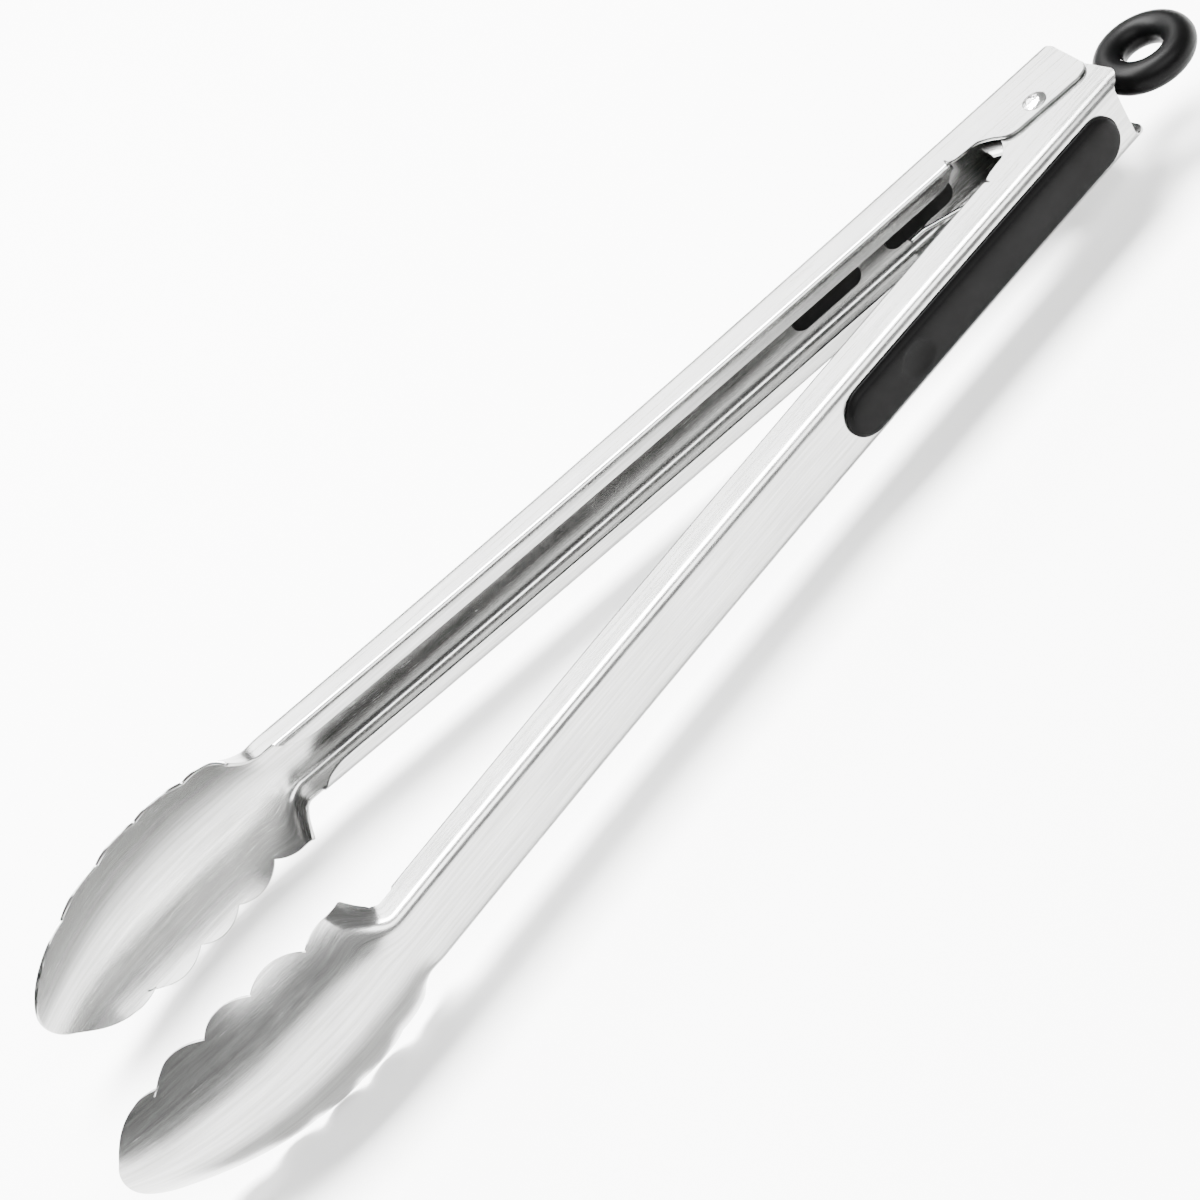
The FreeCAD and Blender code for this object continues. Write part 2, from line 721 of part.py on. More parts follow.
for label, lift in (("upper", f"{FLANGE} - sizes.slide_thick"), ("lower", f"-{FLANGE}")):
    outline = new_sketch(slide, f"slide_{label}_outline", "XY_Plane", lift)
    polygon(outline, [
        (BACK, f"-{HALF} + 2"),
        (f"{BACK} + 2", f"-{HALF}"),
        (f"{FRONT} - 3", f"-{HALF}"),
        (FRONT, f"-{HALF} + 3"),
        (FRONT, f"{HALF} - 3"),
        (f"{FRONT} - 3", HALF),
        (f"{BACK} + 2", HALF),
        (BACK, f"{HALF} - 2"),
    ])
    polygon(outline, [
        (f"-{SLOT}", f"-{SLOT} + 1.2"),
        (f"-{SLOT} + 1.2", f"-{SLOT}"),
        (f"{SLOT} + sizes.slide_travel - 1.2", f"-{SLOT}"),
        (f"{SLOT} + sizes.slide_travel", f"-{SLOT} + 1.2"),
        (f"{SLOT} + sizes.slide_travel", f"{SLOT} - 1.2"),
        (f"{SLOT} + sizes.slide_travel - 1.2", SLOT),
        (f"-{SLOT} + 1.2", SLOT),
        (f"-{SLOT}", f"{SLOT} - 1.2"),
    ])
    pad(slide, f"slide_{label}_flange", outline, "sizes.slide_thick")

# Ring: a thick rubber ring moulded over the tongue of the lock slide, with a flat land in its bore.
torus = doc.addObject("Part::Torus", "ring_cord")
torus.setExpression("Radius1", "sizes.ring_radius")
torus.setExpression("Radius2", "sizes.ring_tube")
torus.setExpression("Placement.Base.x", "-sizes.ring_place")
bore = doc.addObject("Part::Cylinder", "ring_land")
bore.setExpression("Radius", "sizes.ring_bore")
bore.setExpression("Height", "4 * sizes.ring_tube")
bore.setExpression("Placement.Base.x", "-sizes.ring_place")
bore.setExpression("Placement.Base.z", "-2 * sizes.ring_tube")
tongue = doc.addObject("Part::Box", "ring_tongue_slot")
tongue.setExpression("Length", f"{TONGUE_ROOT} - ({TONGUE_TIP})")
tongue.setExpression("Width", "sizes.slide_thick")
tongue.setExpression("Height", f"2 * {TONGUE_HALF}")
tongue.setExpression("Placement.Base.x", TONGUE_TIP)
tongue.setExpression("Placement.Base.y", "-sizes.slide_thick / 2")
tongue.setExpression("Placement.Base.z", f"-({TONGUE_HALF})")
shoulder = doc.addObject("Part::Box", "ring_shoulder_slot")
shoulder.setExpression("Length", "sizes.ring_tube")
shoulder.setExpression("Width", "sizes.slide_thick")
shoulder.setExpression("Height", f"2 * {SHOULDER}")
shoulder.setExpression("Placement.Base.x", TONGUE_ROOT)
shoulder.setExpression("Placement.Base.y", "-sizes.slide_thick / 2")
shoulder.setExpression("Placement.Base.z", f"-{SHOULDER}")
tools = doc.addObject("Part::MultiFuse", "ring_tools")
tools.Shapes = [bore, tongue, shoulder]
ring = doc.addObject("Part::Cut", "hang_ring")
ring.Base = torus
ring.Tool = tools
ring.Label = "hang_ring"
parts["hang_ring"] = (ring, FAR)

doc.recompute()
for item, turn in parts.values():
    item.Placement = Placement(Vector(), turn)
doc.recompute()
box = FreeCAD.BoundBox()
for item, turn in parts.values():
    box.add(item.Shape.optimalBoundingBox(False))
SHIFT = Vector(-(box.XMin + box.XMax) / 2.0, -(box.YMin + box.YMax) / 2.0, -box.ZMin)
for item, turn in parts.values():
    item.Placement = Placement(SHIFT, turn)
doc.recompute()

for item in doc.Objects:
    if "Invalid" in item.State or "Error" in item.State:
        raise RuntimeError(f"{item.Label} did not compute: {item.State}")
os.makedirs("parts", exist_ok=True)
for name, (item, turn) in parts.items():
    shape = item.Shape
    if shape.isNull() or not shape.isValid() or len(shape.Solids) != 1:
        raise RuntimeError(f"{name} is not one valid solid")
    shape.exportStep(f"parts/{name}.step")
    print(name, round(shape.Volume, 1), "mm3")
print("hinge axis at", [round(v, 3) for v in SHIFT])
print("overall", [round(v, 2) for v in (box.XLength, box.YLength, box.ZLength)])
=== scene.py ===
"""Looks of a pair of spring loaded kitchen tongs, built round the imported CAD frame.

Every arm, grip, spring, rivet and ring is rebuilt here as a fine mesh in the CAD's own place, in metres.
The hidden cores, the bush and the lock slide are the CAD's own pieces with finishes on them.
"""
import logging
import math
from dataclasses import dataclass, field
from enum import Enum

import bpy
import numpy as np
from mathutils import Euler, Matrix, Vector


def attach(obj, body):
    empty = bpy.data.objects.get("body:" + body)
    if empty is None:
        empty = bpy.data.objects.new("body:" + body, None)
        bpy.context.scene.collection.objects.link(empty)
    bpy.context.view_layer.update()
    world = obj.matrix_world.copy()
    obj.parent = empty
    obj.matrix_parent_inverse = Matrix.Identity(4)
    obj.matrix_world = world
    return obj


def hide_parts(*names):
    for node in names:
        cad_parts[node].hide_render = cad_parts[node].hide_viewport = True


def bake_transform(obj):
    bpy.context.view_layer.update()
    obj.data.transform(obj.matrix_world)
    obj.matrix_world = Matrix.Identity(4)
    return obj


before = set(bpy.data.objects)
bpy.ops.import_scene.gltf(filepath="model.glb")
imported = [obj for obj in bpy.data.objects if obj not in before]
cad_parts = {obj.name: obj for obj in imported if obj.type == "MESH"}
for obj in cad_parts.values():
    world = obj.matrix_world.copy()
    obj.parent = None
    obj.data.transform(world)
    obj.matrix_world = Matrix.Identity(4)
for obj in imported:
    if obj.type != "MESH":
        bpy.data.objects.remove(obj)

Array = np.ndarray
LOG = logging.getLogger("tongs")
MM = 0.001
HINGE = np.array([-158.524, 0.0, 25.378])
OPEN_HALF = math.radians(6.81)


class Side(Enum):
    """The two arms: the sign of Y outwards, seen from the plane halfway between them."""

    NEAR = 1.0
    FAR = -1.0

    @property
    def body(self) -> str:
        """Name of the CAD body that the arm belongs to."""
        return "near_side" if self is Side.NEAR else "far_side"

    @property
    def word(self) -> str:
        """Word used in the names of the pieces."""
        return "near" if self is Side.NEAR else "far"

    def to_row(self, points: Array) -> Array:
        """Turns points of the arm's own frame into the row frame.

        The point is turned by the half opening about the hinge, mirrored in Y for the far arm, and moved
        to the hinge: x' = x cos a - y sin a, y' = side (x sin a + y cos a), z' = z.

        Args:
            points: array of points in millimetres, X along the arm and Y outwards.

        Returns:
            The same points in the row frame, in metres.
        """
        x, y, z = points[..., 0], points[..., 1], points[..., 2]
        c, s = math.cos(OPEN_HALF), math.sin(OPEN_HALF)
        turned = np.stack([x * c - y * s, self.value * (x * s + y * c), z], axis=-1)
        return (turned + HINGE) * MM


def about_hinge(points: Array) -> Array:
    """Moves points drawn about the hinge to the row frame: the hinge is added and millimetres become metres.

    Args:
        points: array of points in millimetres about the hinge.

    Returns:
        The same points in the row frame, one to a row.
    """
    return ((points + HINGE) * MM).reshape(-1, 3)


def ease(t: Array) -> Array:
    """Smooth step of t held to 0..1: three t squared less two t cubed.

    Args:
        t: any array.

    Returns:
        Values from 0 to 1 with flat ends.
    """
    t = np.clip(t, 0.0, 1.0)
    return t * t * (3.0 - 2.0 * t)


def through(xs: Array, ys: Array, x: Array) -> Array:
    """Smooth curve through a table of points, by cubic pieces with the slope of the neighbours.

    On each span the value is the Hermite cubic whose end slopes are the slopes between the two
    neighbouring points.

    Args:
        xs: rising places of the table.
        ys: values of the table.
        x: where to read the curve; held to the table's ends.

    Returns:
        Values of the curve at x.
    """
    xs, ys = np.asarray(xs, float), np.asarray(ys, float)
    low = np.concatenate([[0], np.arange(len(xs) - 1)])
    high = np.concatenate([np.arange(1, len(xs)), [len(xs) - 1]])
    slope = (ys[high] - ys[low]) / (xs[high] - xs[low])
    x = np.clip(x, xs[0], xs[-1])
    i = np.clip(np.searchsorted(xs, x, side="right") - 1, 0, len(xs) - 2)
    span = xs[i + 1] - xs[i]
    t = (x - xs[i]) / span
    return (
        ys[i] * (1 + 2 * t) * (1 - t) ** 2
        + slope[i] * span * t * (1 - t) ** 2
        + ys[i + 1] * t * t * (3 - 2 * t)
        + slope[i + 1] * span * t * t * (t - 1)
    )


# --- meshes ------------------------------------------------------------------------------------


@dataclass
class Skin:
    """A mesh being put together: points, faces, a flat map of it and which edges stay crisp."""

    points: Array
    faces: list
    flat: Array
    crisp: Array | None = None

    def welded(self) -> "Skin":
        """Joins points that lie in the same place, and drops sides that shrink to nothing.

        Returns:
            The joined skin; its faces have three or four corners.
        """
        keys = np.round(self.points * 1e7).astype(np.int64)
        _, first, back = np.unique(keys, axis=0, return_index=True, return_inverse=True)
        quads = back.reshape(-1)[np.asarray(self.faces)]
        same = quads == np.roll(quads, -1, axis=1)
        whole = quads[~same.any(axis=1)]
        single = same.sum(axis=1) == 1
        keep = ~same[single]
        thirds = quads[single][keep].reshape(-1, 3)
        return Skin(self.points[first], whole.tolist() + thirds.tolist(), self.flat[first])

    def build(self, name: str, finish: "Finish", slot: str) -> bpy.types.Object:
        """Makes the object, smooth shaded, with its map and finish.

        Args:
            name: name of the object.
            finish: what it is made of.
            slot: material slot of the record that the piece stands for; not used.

        Returns:
            The new object at the origin.
        """
        mesh = bpy.data.meshes.new(name)
        mesh.from_pydata(self.points.tolist(), [], self.faces)
        mesh.update(calc_edges=True)
        mesh.polygons.foreach_set("use_smooth", np.ones(len(mesh.polygons), bool))
        corner = np.empty(len(mesh.loops), np.int32)
        mesh.loops.foreach_get("vertex_index", corner)
        layer = mesh.uv_layers.new(name="sheet")
        layer.data.foreach_set("uv", self.flat[corner].astype(np.float32).ravel())
        if self.crisp is not None and len(self.crisp):
            ends = np.empty(len(mesh.edges) * 2, np.int32)
            mesh.edges.foreach_get("vertices", ends)
            ends = np.sort(ends.reshape(-1, 2).astype(np.int64), axis=1)
            wanted = np.sort(self.crisp.astype(np.int64), axis=1)
            size = len(self.points)
            mark = np.isin(ends[:, 0] * size + ends[:, 1], wanted[:, 0] * size + wanted[:, 1])
            sharp = mesh.attributes.new("sharp_edge", "BOOLEAN", "EDGE")
            sharp.data.foreach_set("value", mark)
        item = bpy.data.objects.new(name, mesh)
        bpy.context.scene.collection.objects.link(item)
        item.data.materials.append(finish.material())
        LOG.info("%s: %d points, %d faces", name, len(self.points), len(self.faces))
        return item


def grid_faces(rows: int, columns: int, closed: bool = False) -> Array:
    """Four sided faces of a grid of points stored row by row.

    Args:
        rows: number of rows.
        columns: number of points in each row.
        closed: True if each row runs round and meets itself.

    Returns:
        Array of shape (faces, 4).
    """
    index = np.arange(rows * columns).reshape(rows, columns)
    if closed:
        index = np.concatenate([index, index[:, :1]], axis=1)
    return np.stack([index[:-1, :-1], index[1:, :-1], index[1:, 1:], index[:-1, 1:]], axis=-1).reshape(-1, 4)


def thick_sheet(face: Array, normal: Array, keep: Array, flat: Array, thick: float, edge: float) -> Skin:
    """Closed sheet metal from a grid of points on its outer face.

    The inner face is the outer face less thick times the normal. Along every open border the two are
    joined by a small chamfer, a straight wall and a second chamfer. The chamfer's points stand out from
    the border by edge, along the cross product of the border and the normal.

    Args:
        face: grid of points on the outer face, in metres, shape (rows, columns, 3).
        normal: unit normals of the grid.
        keep: which cells of the grid are metal, shape (rows - 1, columns - 1).
        flat: map coordinates of the grid, shape (rows, columns, 2).
        thick: thickness of the sheet in metres.
        edge: size of the chamfer on the raw edge in metres.

    Returns:
        The closed skin, with its borders marked crisp.
    """
    rows, columns = face.shape[:2]
    cells = grid_faces(rows, columns)[keep.reshape(-1)]
    used, cells = np.unique(cells, return_inverse=True)
    cells = cells.reshape(-1, 4)
    points = face.reshape(-1, 3)[used]
    across = normal.reshape(-1, 3)[used]
    spread = flat.reshape(-1, 2)[used]
    count = len(points)
    corner = points[cells]
    turn = np.cross(corner[:, 2] - corner[:, 0], corner[:, 3] - corner[:, 1])
    if np.einsum("ij,ij->i", turn, across[cells[:, 0]]).mean() < 0:
        cells = cells[:, ::-1]
    sides = np.concatenate([cells[:, [0, 1]], cells[:, [1, 2]], cells[:, [2, 3]], cells[:, [3, 0]]])
    code = sides[:, 0] * count + sides[:, 1]
    rim = sides[~np.isin(code, sides[:, 1] * count + sides[:, 0])]
    away = np.zeros((count, 3))
    run = points[rim[:, 1]] - points[rim[:, 0]]
    run /= np.maximum(np.linalg.norm(run, axis=1, keepdims=True), 1e-9)
    push = np.cross(run, across[rim[:, 0]])
    np.add.at(away, rim[:, 0], push)
    np.add.at(away, rim[:, 1], push)
    border = np.unique(rim)
    away = away[border]
    away /= np.maximum(np.linalg.norm(away, axis=1, keepdims=True), 1e-9)
    place = np.zeros(count, np.int64)
    place[border] = np.arange(len(border))
    upper = points[border] + edge * away - edge * across[border]
    lower = points[border] + edge * away - (thick - edge) * across[border]
    inner = points - thick * across
    rings = [
        (rim, lambda n: n),
        (rim, lambda n: 2 * count + place[n]),
        (rim, lambda n: 2 * count + len(border) + place[n]),
        (rim, lambda n: count + n),
    ]
    strips = []
    for (pair, first), (_, second) in zip(rings, rings[1:]):
        a, b = first(pair[:, 0]), first(pair[:, 1])
        c, d = second(pair[:, 1]), second(pair[:, 0])
        strips.append(np.stack([b, a, d, c], axis=1))
    faces = np.concatenate([cells, cells[:, ::-1] + count] + strips)
    crisp = np.concatenate([rim, rim + count])
    every = np.concatenate([points, inner, upper, lower])
    shift = np.array([0.0, 0.3])
    maps = np.concatenate([spread, spread, spread[border] + shift, spread[border] + 2 * shift])
    return Skin(every, faces.tolist(), maps, crisp)


# --- finishes ----------------------------------------------------------------------------------


class Shader:
    """Adds nodes to one new material, the last of them its surface."""

    def __init__(self, name: str) -> None:
        """Starts an empty material.

        Args:
            name: name of the material.
        """
        self.material = bpy.data.materials.new(name)
        self.material.use_nodes = True
        self.tree = self.material.node_tree
        self.tree.nodes.clear()
        self.output = self.tree.nodes.new("ShaderNodeOutputMaterial")
        self.surface = self.add("ShaderNodeBsdfPrincipled")
        self.tree.links.new(self.surface.outputs[0], self.output.inputs["Surface"])

    def add(self, kind: str, **values: object) -> bpy.types.Node:
        """Adds a node.

        Args:
            kind: type name of the node.
            values: input sockets by name, with _ for a space: a number, colour or output socket.

        Returns:
            The node.
        """
        node = self.tree.nodes.new(kind)
        for key, value in values.items():
            self.set(node, key.replace("_", " "), value)
        return node

    def set(self, node: bpy.types.Node, key: str, value: object) -> None:
        """Sets one input of a node to a value, or links a socket to it.

        Args:
            node: the node.
            key: name of the input.
            value: a number, vector, colour or output socket.
        """
        socket = node.inputs[key]
        if isinstance(value, bpy.types.NodeSocket):
            self.tree.links.new(value, socket)
        else:
            socket.default_value = value

    def noise(self, vector: object, scale: object, detail: float, rough: float = 0.55) -> object:
        """Noise read at a vector stretched by scale.

        Args:
            vector: output socket with the coordinates.
            scale: three factors for the coordinates.
            detail: number of octaves.
            rough: weight of the finer octaves.

        Returns:
            Output socket with values from 0 to 1.
        """
        mapping = self.add("ShaderNodeMapping", Vector=vector, Scale=scale)
        node = self.add("ShaderNodeTexNoise", Vector=mapping.outputs[0], Scale=1.0, Detail=detail,
                        Roughness=rough)
        return node.outputs[0]

    def remap(self, value: object, low: float, high: float, start: float = 0.3, end: float = 0.7) -> object:
        """Stretches values between start and end to low and high, held at both ends.

        Args:
            value: output socket.
            low: result at start.
            high: result at end.
            start: lower input.
            end: upper input.

        Returns:
            Output socket.
        """
        node = self.tree.nodes.new("ShaderNodeMapRange")
        self.tree.links.new(value, node.inputs[0])
        for index, number in enumerate((start, end, low, high), start=1):
            node.inputs[index].default_value = number
        return node.outputs[0]

    def tone(self, value: object, dark: tuple, light: tuple) -> object:
        """Colour between dark and light by a value.

        Args:
            value: output socket from 0 to 1.
            dark: colour at 0.
            light: colour at 1.

        Returns:
            Output socket with the colour.
        """
        node = self.tree.nodes.new("ShaderNodeMix")
        node.data_type = "RGBA"
        self.tree.links.new(value, node.inputs[0])
        node.inputs[6].default_value = (*dark, 1.0)
        node.inputs[7].default_value = (*light, 1.0)
        return node.outputs[2]

    def bump(self, height: object, strength: float, distance: float) -> object:
        """Bump from a height.

        Args:
            height: output socket.
            strength: from 0 to 1.
            distance: height of the relief in metres.

        Returns:
            Output socket with the normal.
        """
        return self.add("ShaderNodeBump", Height=height, Strength=strength, Distance=distance).outputs[0]


class Finish:
    """What a piece is made of. Each finish makes its material once."""

    made: dict = {}

    def draw(self) -> bpy.types.Material:
        """Makes the material.

        Returns:
            The new material.
        """
        raise NotImplementedError

    def material(self) -> bpy.types.Material:
        """The finish's material, made on first use.

        Returns:
            The material.
        """
        if self not in Finish.made:
            Finish.made[self] = self.draw()
        return Finish.made[self]


@dataclass(frozen=True)
class BrushedSheet(Finish):
    """Stainless sheet brushed lengthwise, read from the sheet's own flat map in millimetres."""

    name: str = "brushed sheet steel"
    light: tuple = (0.40, 0.40, 0.395)
    dark: tuple = (0.25, 0.25, 0.245)
    rough: float = 0.22
    spread: float = 0.5
    relief: float = 0.22

    def draw(self) -> bpy.types.Material:
        """Long streaks change tone and roughness, and fine scratches give the relief.

        Returns:
            The material.
        """
        s = Shader(self.name)
        sheet = s.add("ShaderNodeUVMap")
        sheet.uv_map = "sheet"
        where = sheet.outputs[0]
        streak = s.noise(where, (0.035, 1.1, 1.0), 5.0, 0.62)
        scratch = s.noise(where, (0.16, 7.0, 1.0), 4.0, 0.6)
        smudge = s.noise(where, (0.045, 0.07, 1.0), 3.0)
        s.set(s.surface, "Base Color", s.tone(s.remap(streak, 0.0, 1.0), self.dark, self.light))
        rough = s.add("ShaderNodeMath")
        rough.operation = "ADD"
        s.tree.links.new(s.remap(scratch, self.rough - 0.05, self.rough + 0.05), rough.inputs[0])
        s.tree.links.new(s.remap(smudge, -0.02, 0.03), rough.inputs[1])
        s.set(s.surface, "Roughness", rough.outputs[0])
        s.set(s.surface, "Metallic", 1.0)
        s.set(s.surface, "Anisotropic", self.spread)
        s.set(s.surface, "Anisotropic Rotation", 0.25)
        tangent = s.tree.nodes.new("ShaderNodeTangent")
        tangent.direction_type = "UV_MAP"
        tangent.uv_map = "sheet"
        s.set(s.surface, "Tangent", tangent.outputs[0])
        s.set(s.surface, "Normal", s.bump(scratch, self.relief, 0.00004))
        return s.material


@dataclass(frozen=True)
class PlainSteel(Finish):
    """Small steel part: satin metal with fine marks along or round it."""

    name: str = "satin steel"
    light: tuple = (0.80, 0.80, 0.79)
    dark: tuple = (0.56, 0.56, 0.55)
    rough: float = 0.24
    grain: tuple = (90.0, 1400.0, 1400.0)
    dents: float = 0.0

    def draw(self) -> bpy.types.Material:
        """Stretched noise in the object's own coordinates for marks, and soft hollows for peening.

        Returns:
            The material.
        """
        s = Shader(self.name)
        where = s.add("ShaderNodeTexCoord").outputs["Object"]
        marks = s.noise(where, self.grain, 5.0, 0.6)
        cloud = s.noise(where, (180.0, 180.0, 180.0), 3.0)
        s.set(s.surface, "Base Color", s.tone(s.remap(marks, 0.0, 1.0), self.dark, self.light))
        s.set(s.surface, "Roughness", s.remap(cloud, self.rough - 0.06, self.rough + 0.08))
        s.set(s.surface, "Metallic", 1.0)
        normal = s.bump(marks, 0.25, 0.00003)
        if self.dents:
            hollow = s.noise(where, (750.0, 750.0, 750.0), 1.5)
            node = s.add("ShaderNodeBump", Height=hollow, Strength=self.dents, Distance=0.0004, Normal=normal)
            normal = node.outputs[0]
        s.set(s.surface, "Normal", normal)
        return s.material


@dataclass(frozen=True)
class SoftBlack(Finish):
    """Black rubber or moulded plastic with a fine grain."""

    name: str = "soft black rubber"
    dark: tuple = (0.0004, 0.0004, 0.00042)
    light: tuple = (0.0009, 0.0009, 0.00095)
    rough: float = 0.5
    grain: float = 2600.0
    relief: float = 0.16
    shine: float = 0.05

    def draw(self) -> bpy.types.Material:
        """A fine grain gives the relief, and soft clouds change the tone and the roughness.

        Returns:
            The material.
        """
        s = Shader(self.name)
        where = s.add("ShaderNodeTexCoord").outputs["Object"]
        grain = s.noise(where, (self.grain,) * 3, 2.0)
        cloud = s.noise(where, (70.0, 70.0, 70.0), 4.0)
        s.set(s.surface, "Base Color", s.tone(s.remap(cloud, 0.0, 1.0), self.dark, self.light))
        s.set(s.surface, "Roughness", s.remap(cloud, self.rough + 0.05, self.rough - 0.05))
        s.set(s.surface, "Specular IOR Level", self.shine)
        s.set(s.surface, "Normal", s.bump(grain, self.relief, 0.00005))
        return s.material


@dataclass(frozen=True)
class PaleFloor(Finish):
    """Matt pale studio floor."""

    name: str = "pale studio floor"
    light: tuple = (0.90, 0.90, 0.895)
    dark: tuple = (0.87, 0.87, 0.865)
    rough: float = 0.75
    shine: float = 0.2

    def draw(self) -> bpy.types.Material:
        """Very soft clouds in the tone.

        Returns:
            The material.
        """
        s = Shader(self.name)
        where = s.add("ShaderNodeTexCoord").outputs["Object"]
        cloud = s.noise(where, (3.0, 3.0, 3.0), 2.0)
        s.set(s.surface, "Base Color", s.tone(s.remap(cloud, 0.0, 1.0), self.dark, self.light))
        s.set(s.surface, "Roughness", self.rough)
        s.set(s.surface, "Specular IOR Level", self.shine)
        return s.material


SHEET = BrushedSheet()
GRIP_RUBBER = SoftBlack()
RING_RUBBER = SoftBlack("ring rubber", rough=0.4, grain=2200.0, relief=0.1)
CORE_PLASTIC = SoftBlack("core plastic", (0.008, 0.008, 0.008), (0.016, 0.016, 0.016), 0.5, 900.0, 0.2)
RIVET_STEEL = PlainSteel("peened rivet steel", (0.78, 0.78, 0.77), (0.5, 0.5, 0.49), 0.2, (700.0,) * 3, 0.6)
BUSH_STEEL = PlainSteel("turned bush steel", (0.7, 0.7, 0.69), (0.5, 0.5, 0.49), 0.3, (60.0, 60.0, 2600.0))
SLIDE_STEEL = PlainSteel("slide steel", (0.84, 0.84, 0.83), (0.66, 0.66, 0.65), 0.22)
WIRE_STEEL = PlainSteel("spring wire", (0.84, 0.84, 0.83), (0.62, 0.62, 0.61), 0.18, (900.0, 900.0, 900.0))


# --- stamped arms ------------------------------------------------------------------------------


@dataclass(frozen=True)
class ArmSheet:
    """One stamped arm: lipped channel, ears, grip slots and scalloped jaw in one sheet. Millimetres."""

    side: Side
    half: float
    thick: float = 1.0
    edge: float = 0.2
    back_mid: float = 14.2
    bow_rise: float = 3.0
    bow_place: float = 170.0
    depth_root: float = 13.2
    depth_neck: float = 10.6
    neck: float = 272.0
    bend_back: float = 3.0
    bend_lip: float = 1.5
    lip_width: float = 5.4
    ear_end: float = 16.5
    ear_reach: float = 4.6
    ear_round: float = 5.0
    hole: float = 2.05
    slots: tuple = (27.0, 61.2)
    slot_length: float = 24.4
    slot_half: float = 6.4
    slot_round: float = 3.4
    tip: float = 366.0
    opening: float = 12.0
    ears_to: float = 28.0
    fan_from: float = 300.0
    probe: float = 0.02
    jaw_place: tuple = (-15, -1, 4, 8.5, 14, 21, 30, 40, 51, 62, 71, 79, 86, 92, 98, 108)
    jaw_middle: tuple = (15.3, 15.3, 15.5, 15.8, 15.95, 15.95, 15.75, 14.9, 13.1, 10.1, 6.6, 2.6, -1.9, -6.6,
                         -12, -22)
    jaw_curl: tuple = (0.042, 0.042, 0.034, 0.025, 0.02, 0.0176, 0.0168, 0.017, 0.0184, 0.0208, 0.024, 0.029,
                       0.034, 0.036, 0.036, 0.036)
    jaw_wide: tuple = (13, 17, 21, 25, 27, 26.5, 28, 28, 27.5, 26.5, 24.5, 22, 19.5, 17.5, 16, 14)
    cusp_place: tuple = (21.6, 37.8, 52.7, 68.7, 83.8)
    cusp_half: tuple = (20.9, 23.2, 22.7, 19.9, 11.4)
    lobe_rise: float = 2.6
    columns: tuple = (14, 6, 6, 5, 4)

    def back(self, x: Array) -> Array:
        """Outer face of the back wall: a shallow bow, the square of the distance from its middle.

        Args:
            x: places along the arm.

        Returns:
            Heights in millimetres.
        """
        return self.back_mid + self.bow_rise * ((x - self.bow_place) / self.bow_place) ** 2

    def front(self, x: Array) -> Array:
        """Outer face of the lips: the back wall less the depth, which changes evenly along the arm.

        Args:
            x: places along the arm.

        Returns:
            Heights in millimetres.
        """
        return self.back(x) - self.depth_root - (self.depth_neck - self.depth_root) * x / self.neck

    @property
    def flat(self) -> float:
        """Half width of the flat of the back wall."""
        return self.half - self.bend_back

    @property
    def shoulder(self) -> float:
        """Run along the section from the middle of the back to the start of the side wall."""
        return self.flat + math.pi / 2 * self.bend_back

    def wall(self, x: Array) -> Array:
        """Length of the side wall between its two bends.

        Args:
            x: places along the arm.

        Returns:
            Lengths in millimetres.
        """
        return self.back(x) - self.front(x) - self.bend_back - self.bend_lip

    @property
    def rim_run(self) -> float:
        """Run along the section from the middle of the back to the rim, at the neck and in the jaw."""
        return self.shoulder + float(self.wall(np.array(self.neck)))

    def surface(self, x: Array, s: Array) -> Array:
        """Outer face of the sheet at a place x and a run s along the section.

        The channel is followed as a flat back, a quarter turn, a side wall, a second quarter turn and a lip.
        Past the neck it eases into the dish, y = middle - curl z squared, over the opening length.

        Args:
            x: places along the arm.
            s: signed run from the middle of the back, positive upwards.

        Returns:
            Points in the arm's frame, in millimetres.
        """
        run = np.abs(s)
        at = np.minimum(x, self.neck)
        back, front = self.back(at), self.front(at)
        turn = np.clip((run - self.flat) / self.bend_back, 0.0, math.pi / 2)
        length = np.where(at < self.ears_to, 1e3, self.wall(at))
        down = np.clip(run - self.shoulder, 0.0, length)
        fold = np.clip((run - self.shoulder - length) / self.bend_lip, 0.0, math.pi / 2)
        lip = np.maximum(run - self.shoulder - length - math.pi / 2 * self.bend_lip, 0.0)
        z = np.minimum(run, self.flat) + self.bend_back * np.sin(turn)
        z = z - self.bend_lip * (1.0 - np.cos(fold)) - lip
        y = back - self.bend_back * (1.0 - np.cos(turn)) - down - self.bend_lip * np.sin(fold)
        place = x - self.neck
        blend = ease((place - 1.0) / self.opening)
        reach = through(self.jaw_place, self.jaw_wide, place) * run / self.rim_run
        dish = through(self.jaw_place, self.jaw_middle, place)
        dish = dish - through(self.jaw_place, self.jaw_curl, place) * reach**2
        y = y + (dish - y) * blend
        z = z + (reach - z) * blend
        return np.stack([x, y, np.sign(s) * z], axis=-1)

    def wall_bottom(self, x: Array) -> Array:
        """Lower end of the side wall near the hinge: the ear's outline, rounded at its rear corner.

        Args:
            x: places along the arm.

        Returns:
            Heights in millimetres.
        """
        start = 30.0
        level = float(self.front(np.array(start))) + 0.1
        reach = -self.ear_reach
        xs = [-30.0, 6.5, 9.5, 12.5, 15.0, 18.5, 22.0, 25.0, 28.0]
        ys = [reach, reach, reach + 0.15]
        ys += [level + step for step in (-6.6, -3.3, -0.35, 0.0, 0.3, 1.4)]
        outline = through(xs, ys, x)
        back = np.clip(-self.ear_end + self.ear_round - x, 0.0, self.ear_round - 1e-6)
        return outline + self.ear_round - np.sqrt(self.ear_round**2 - back**2)

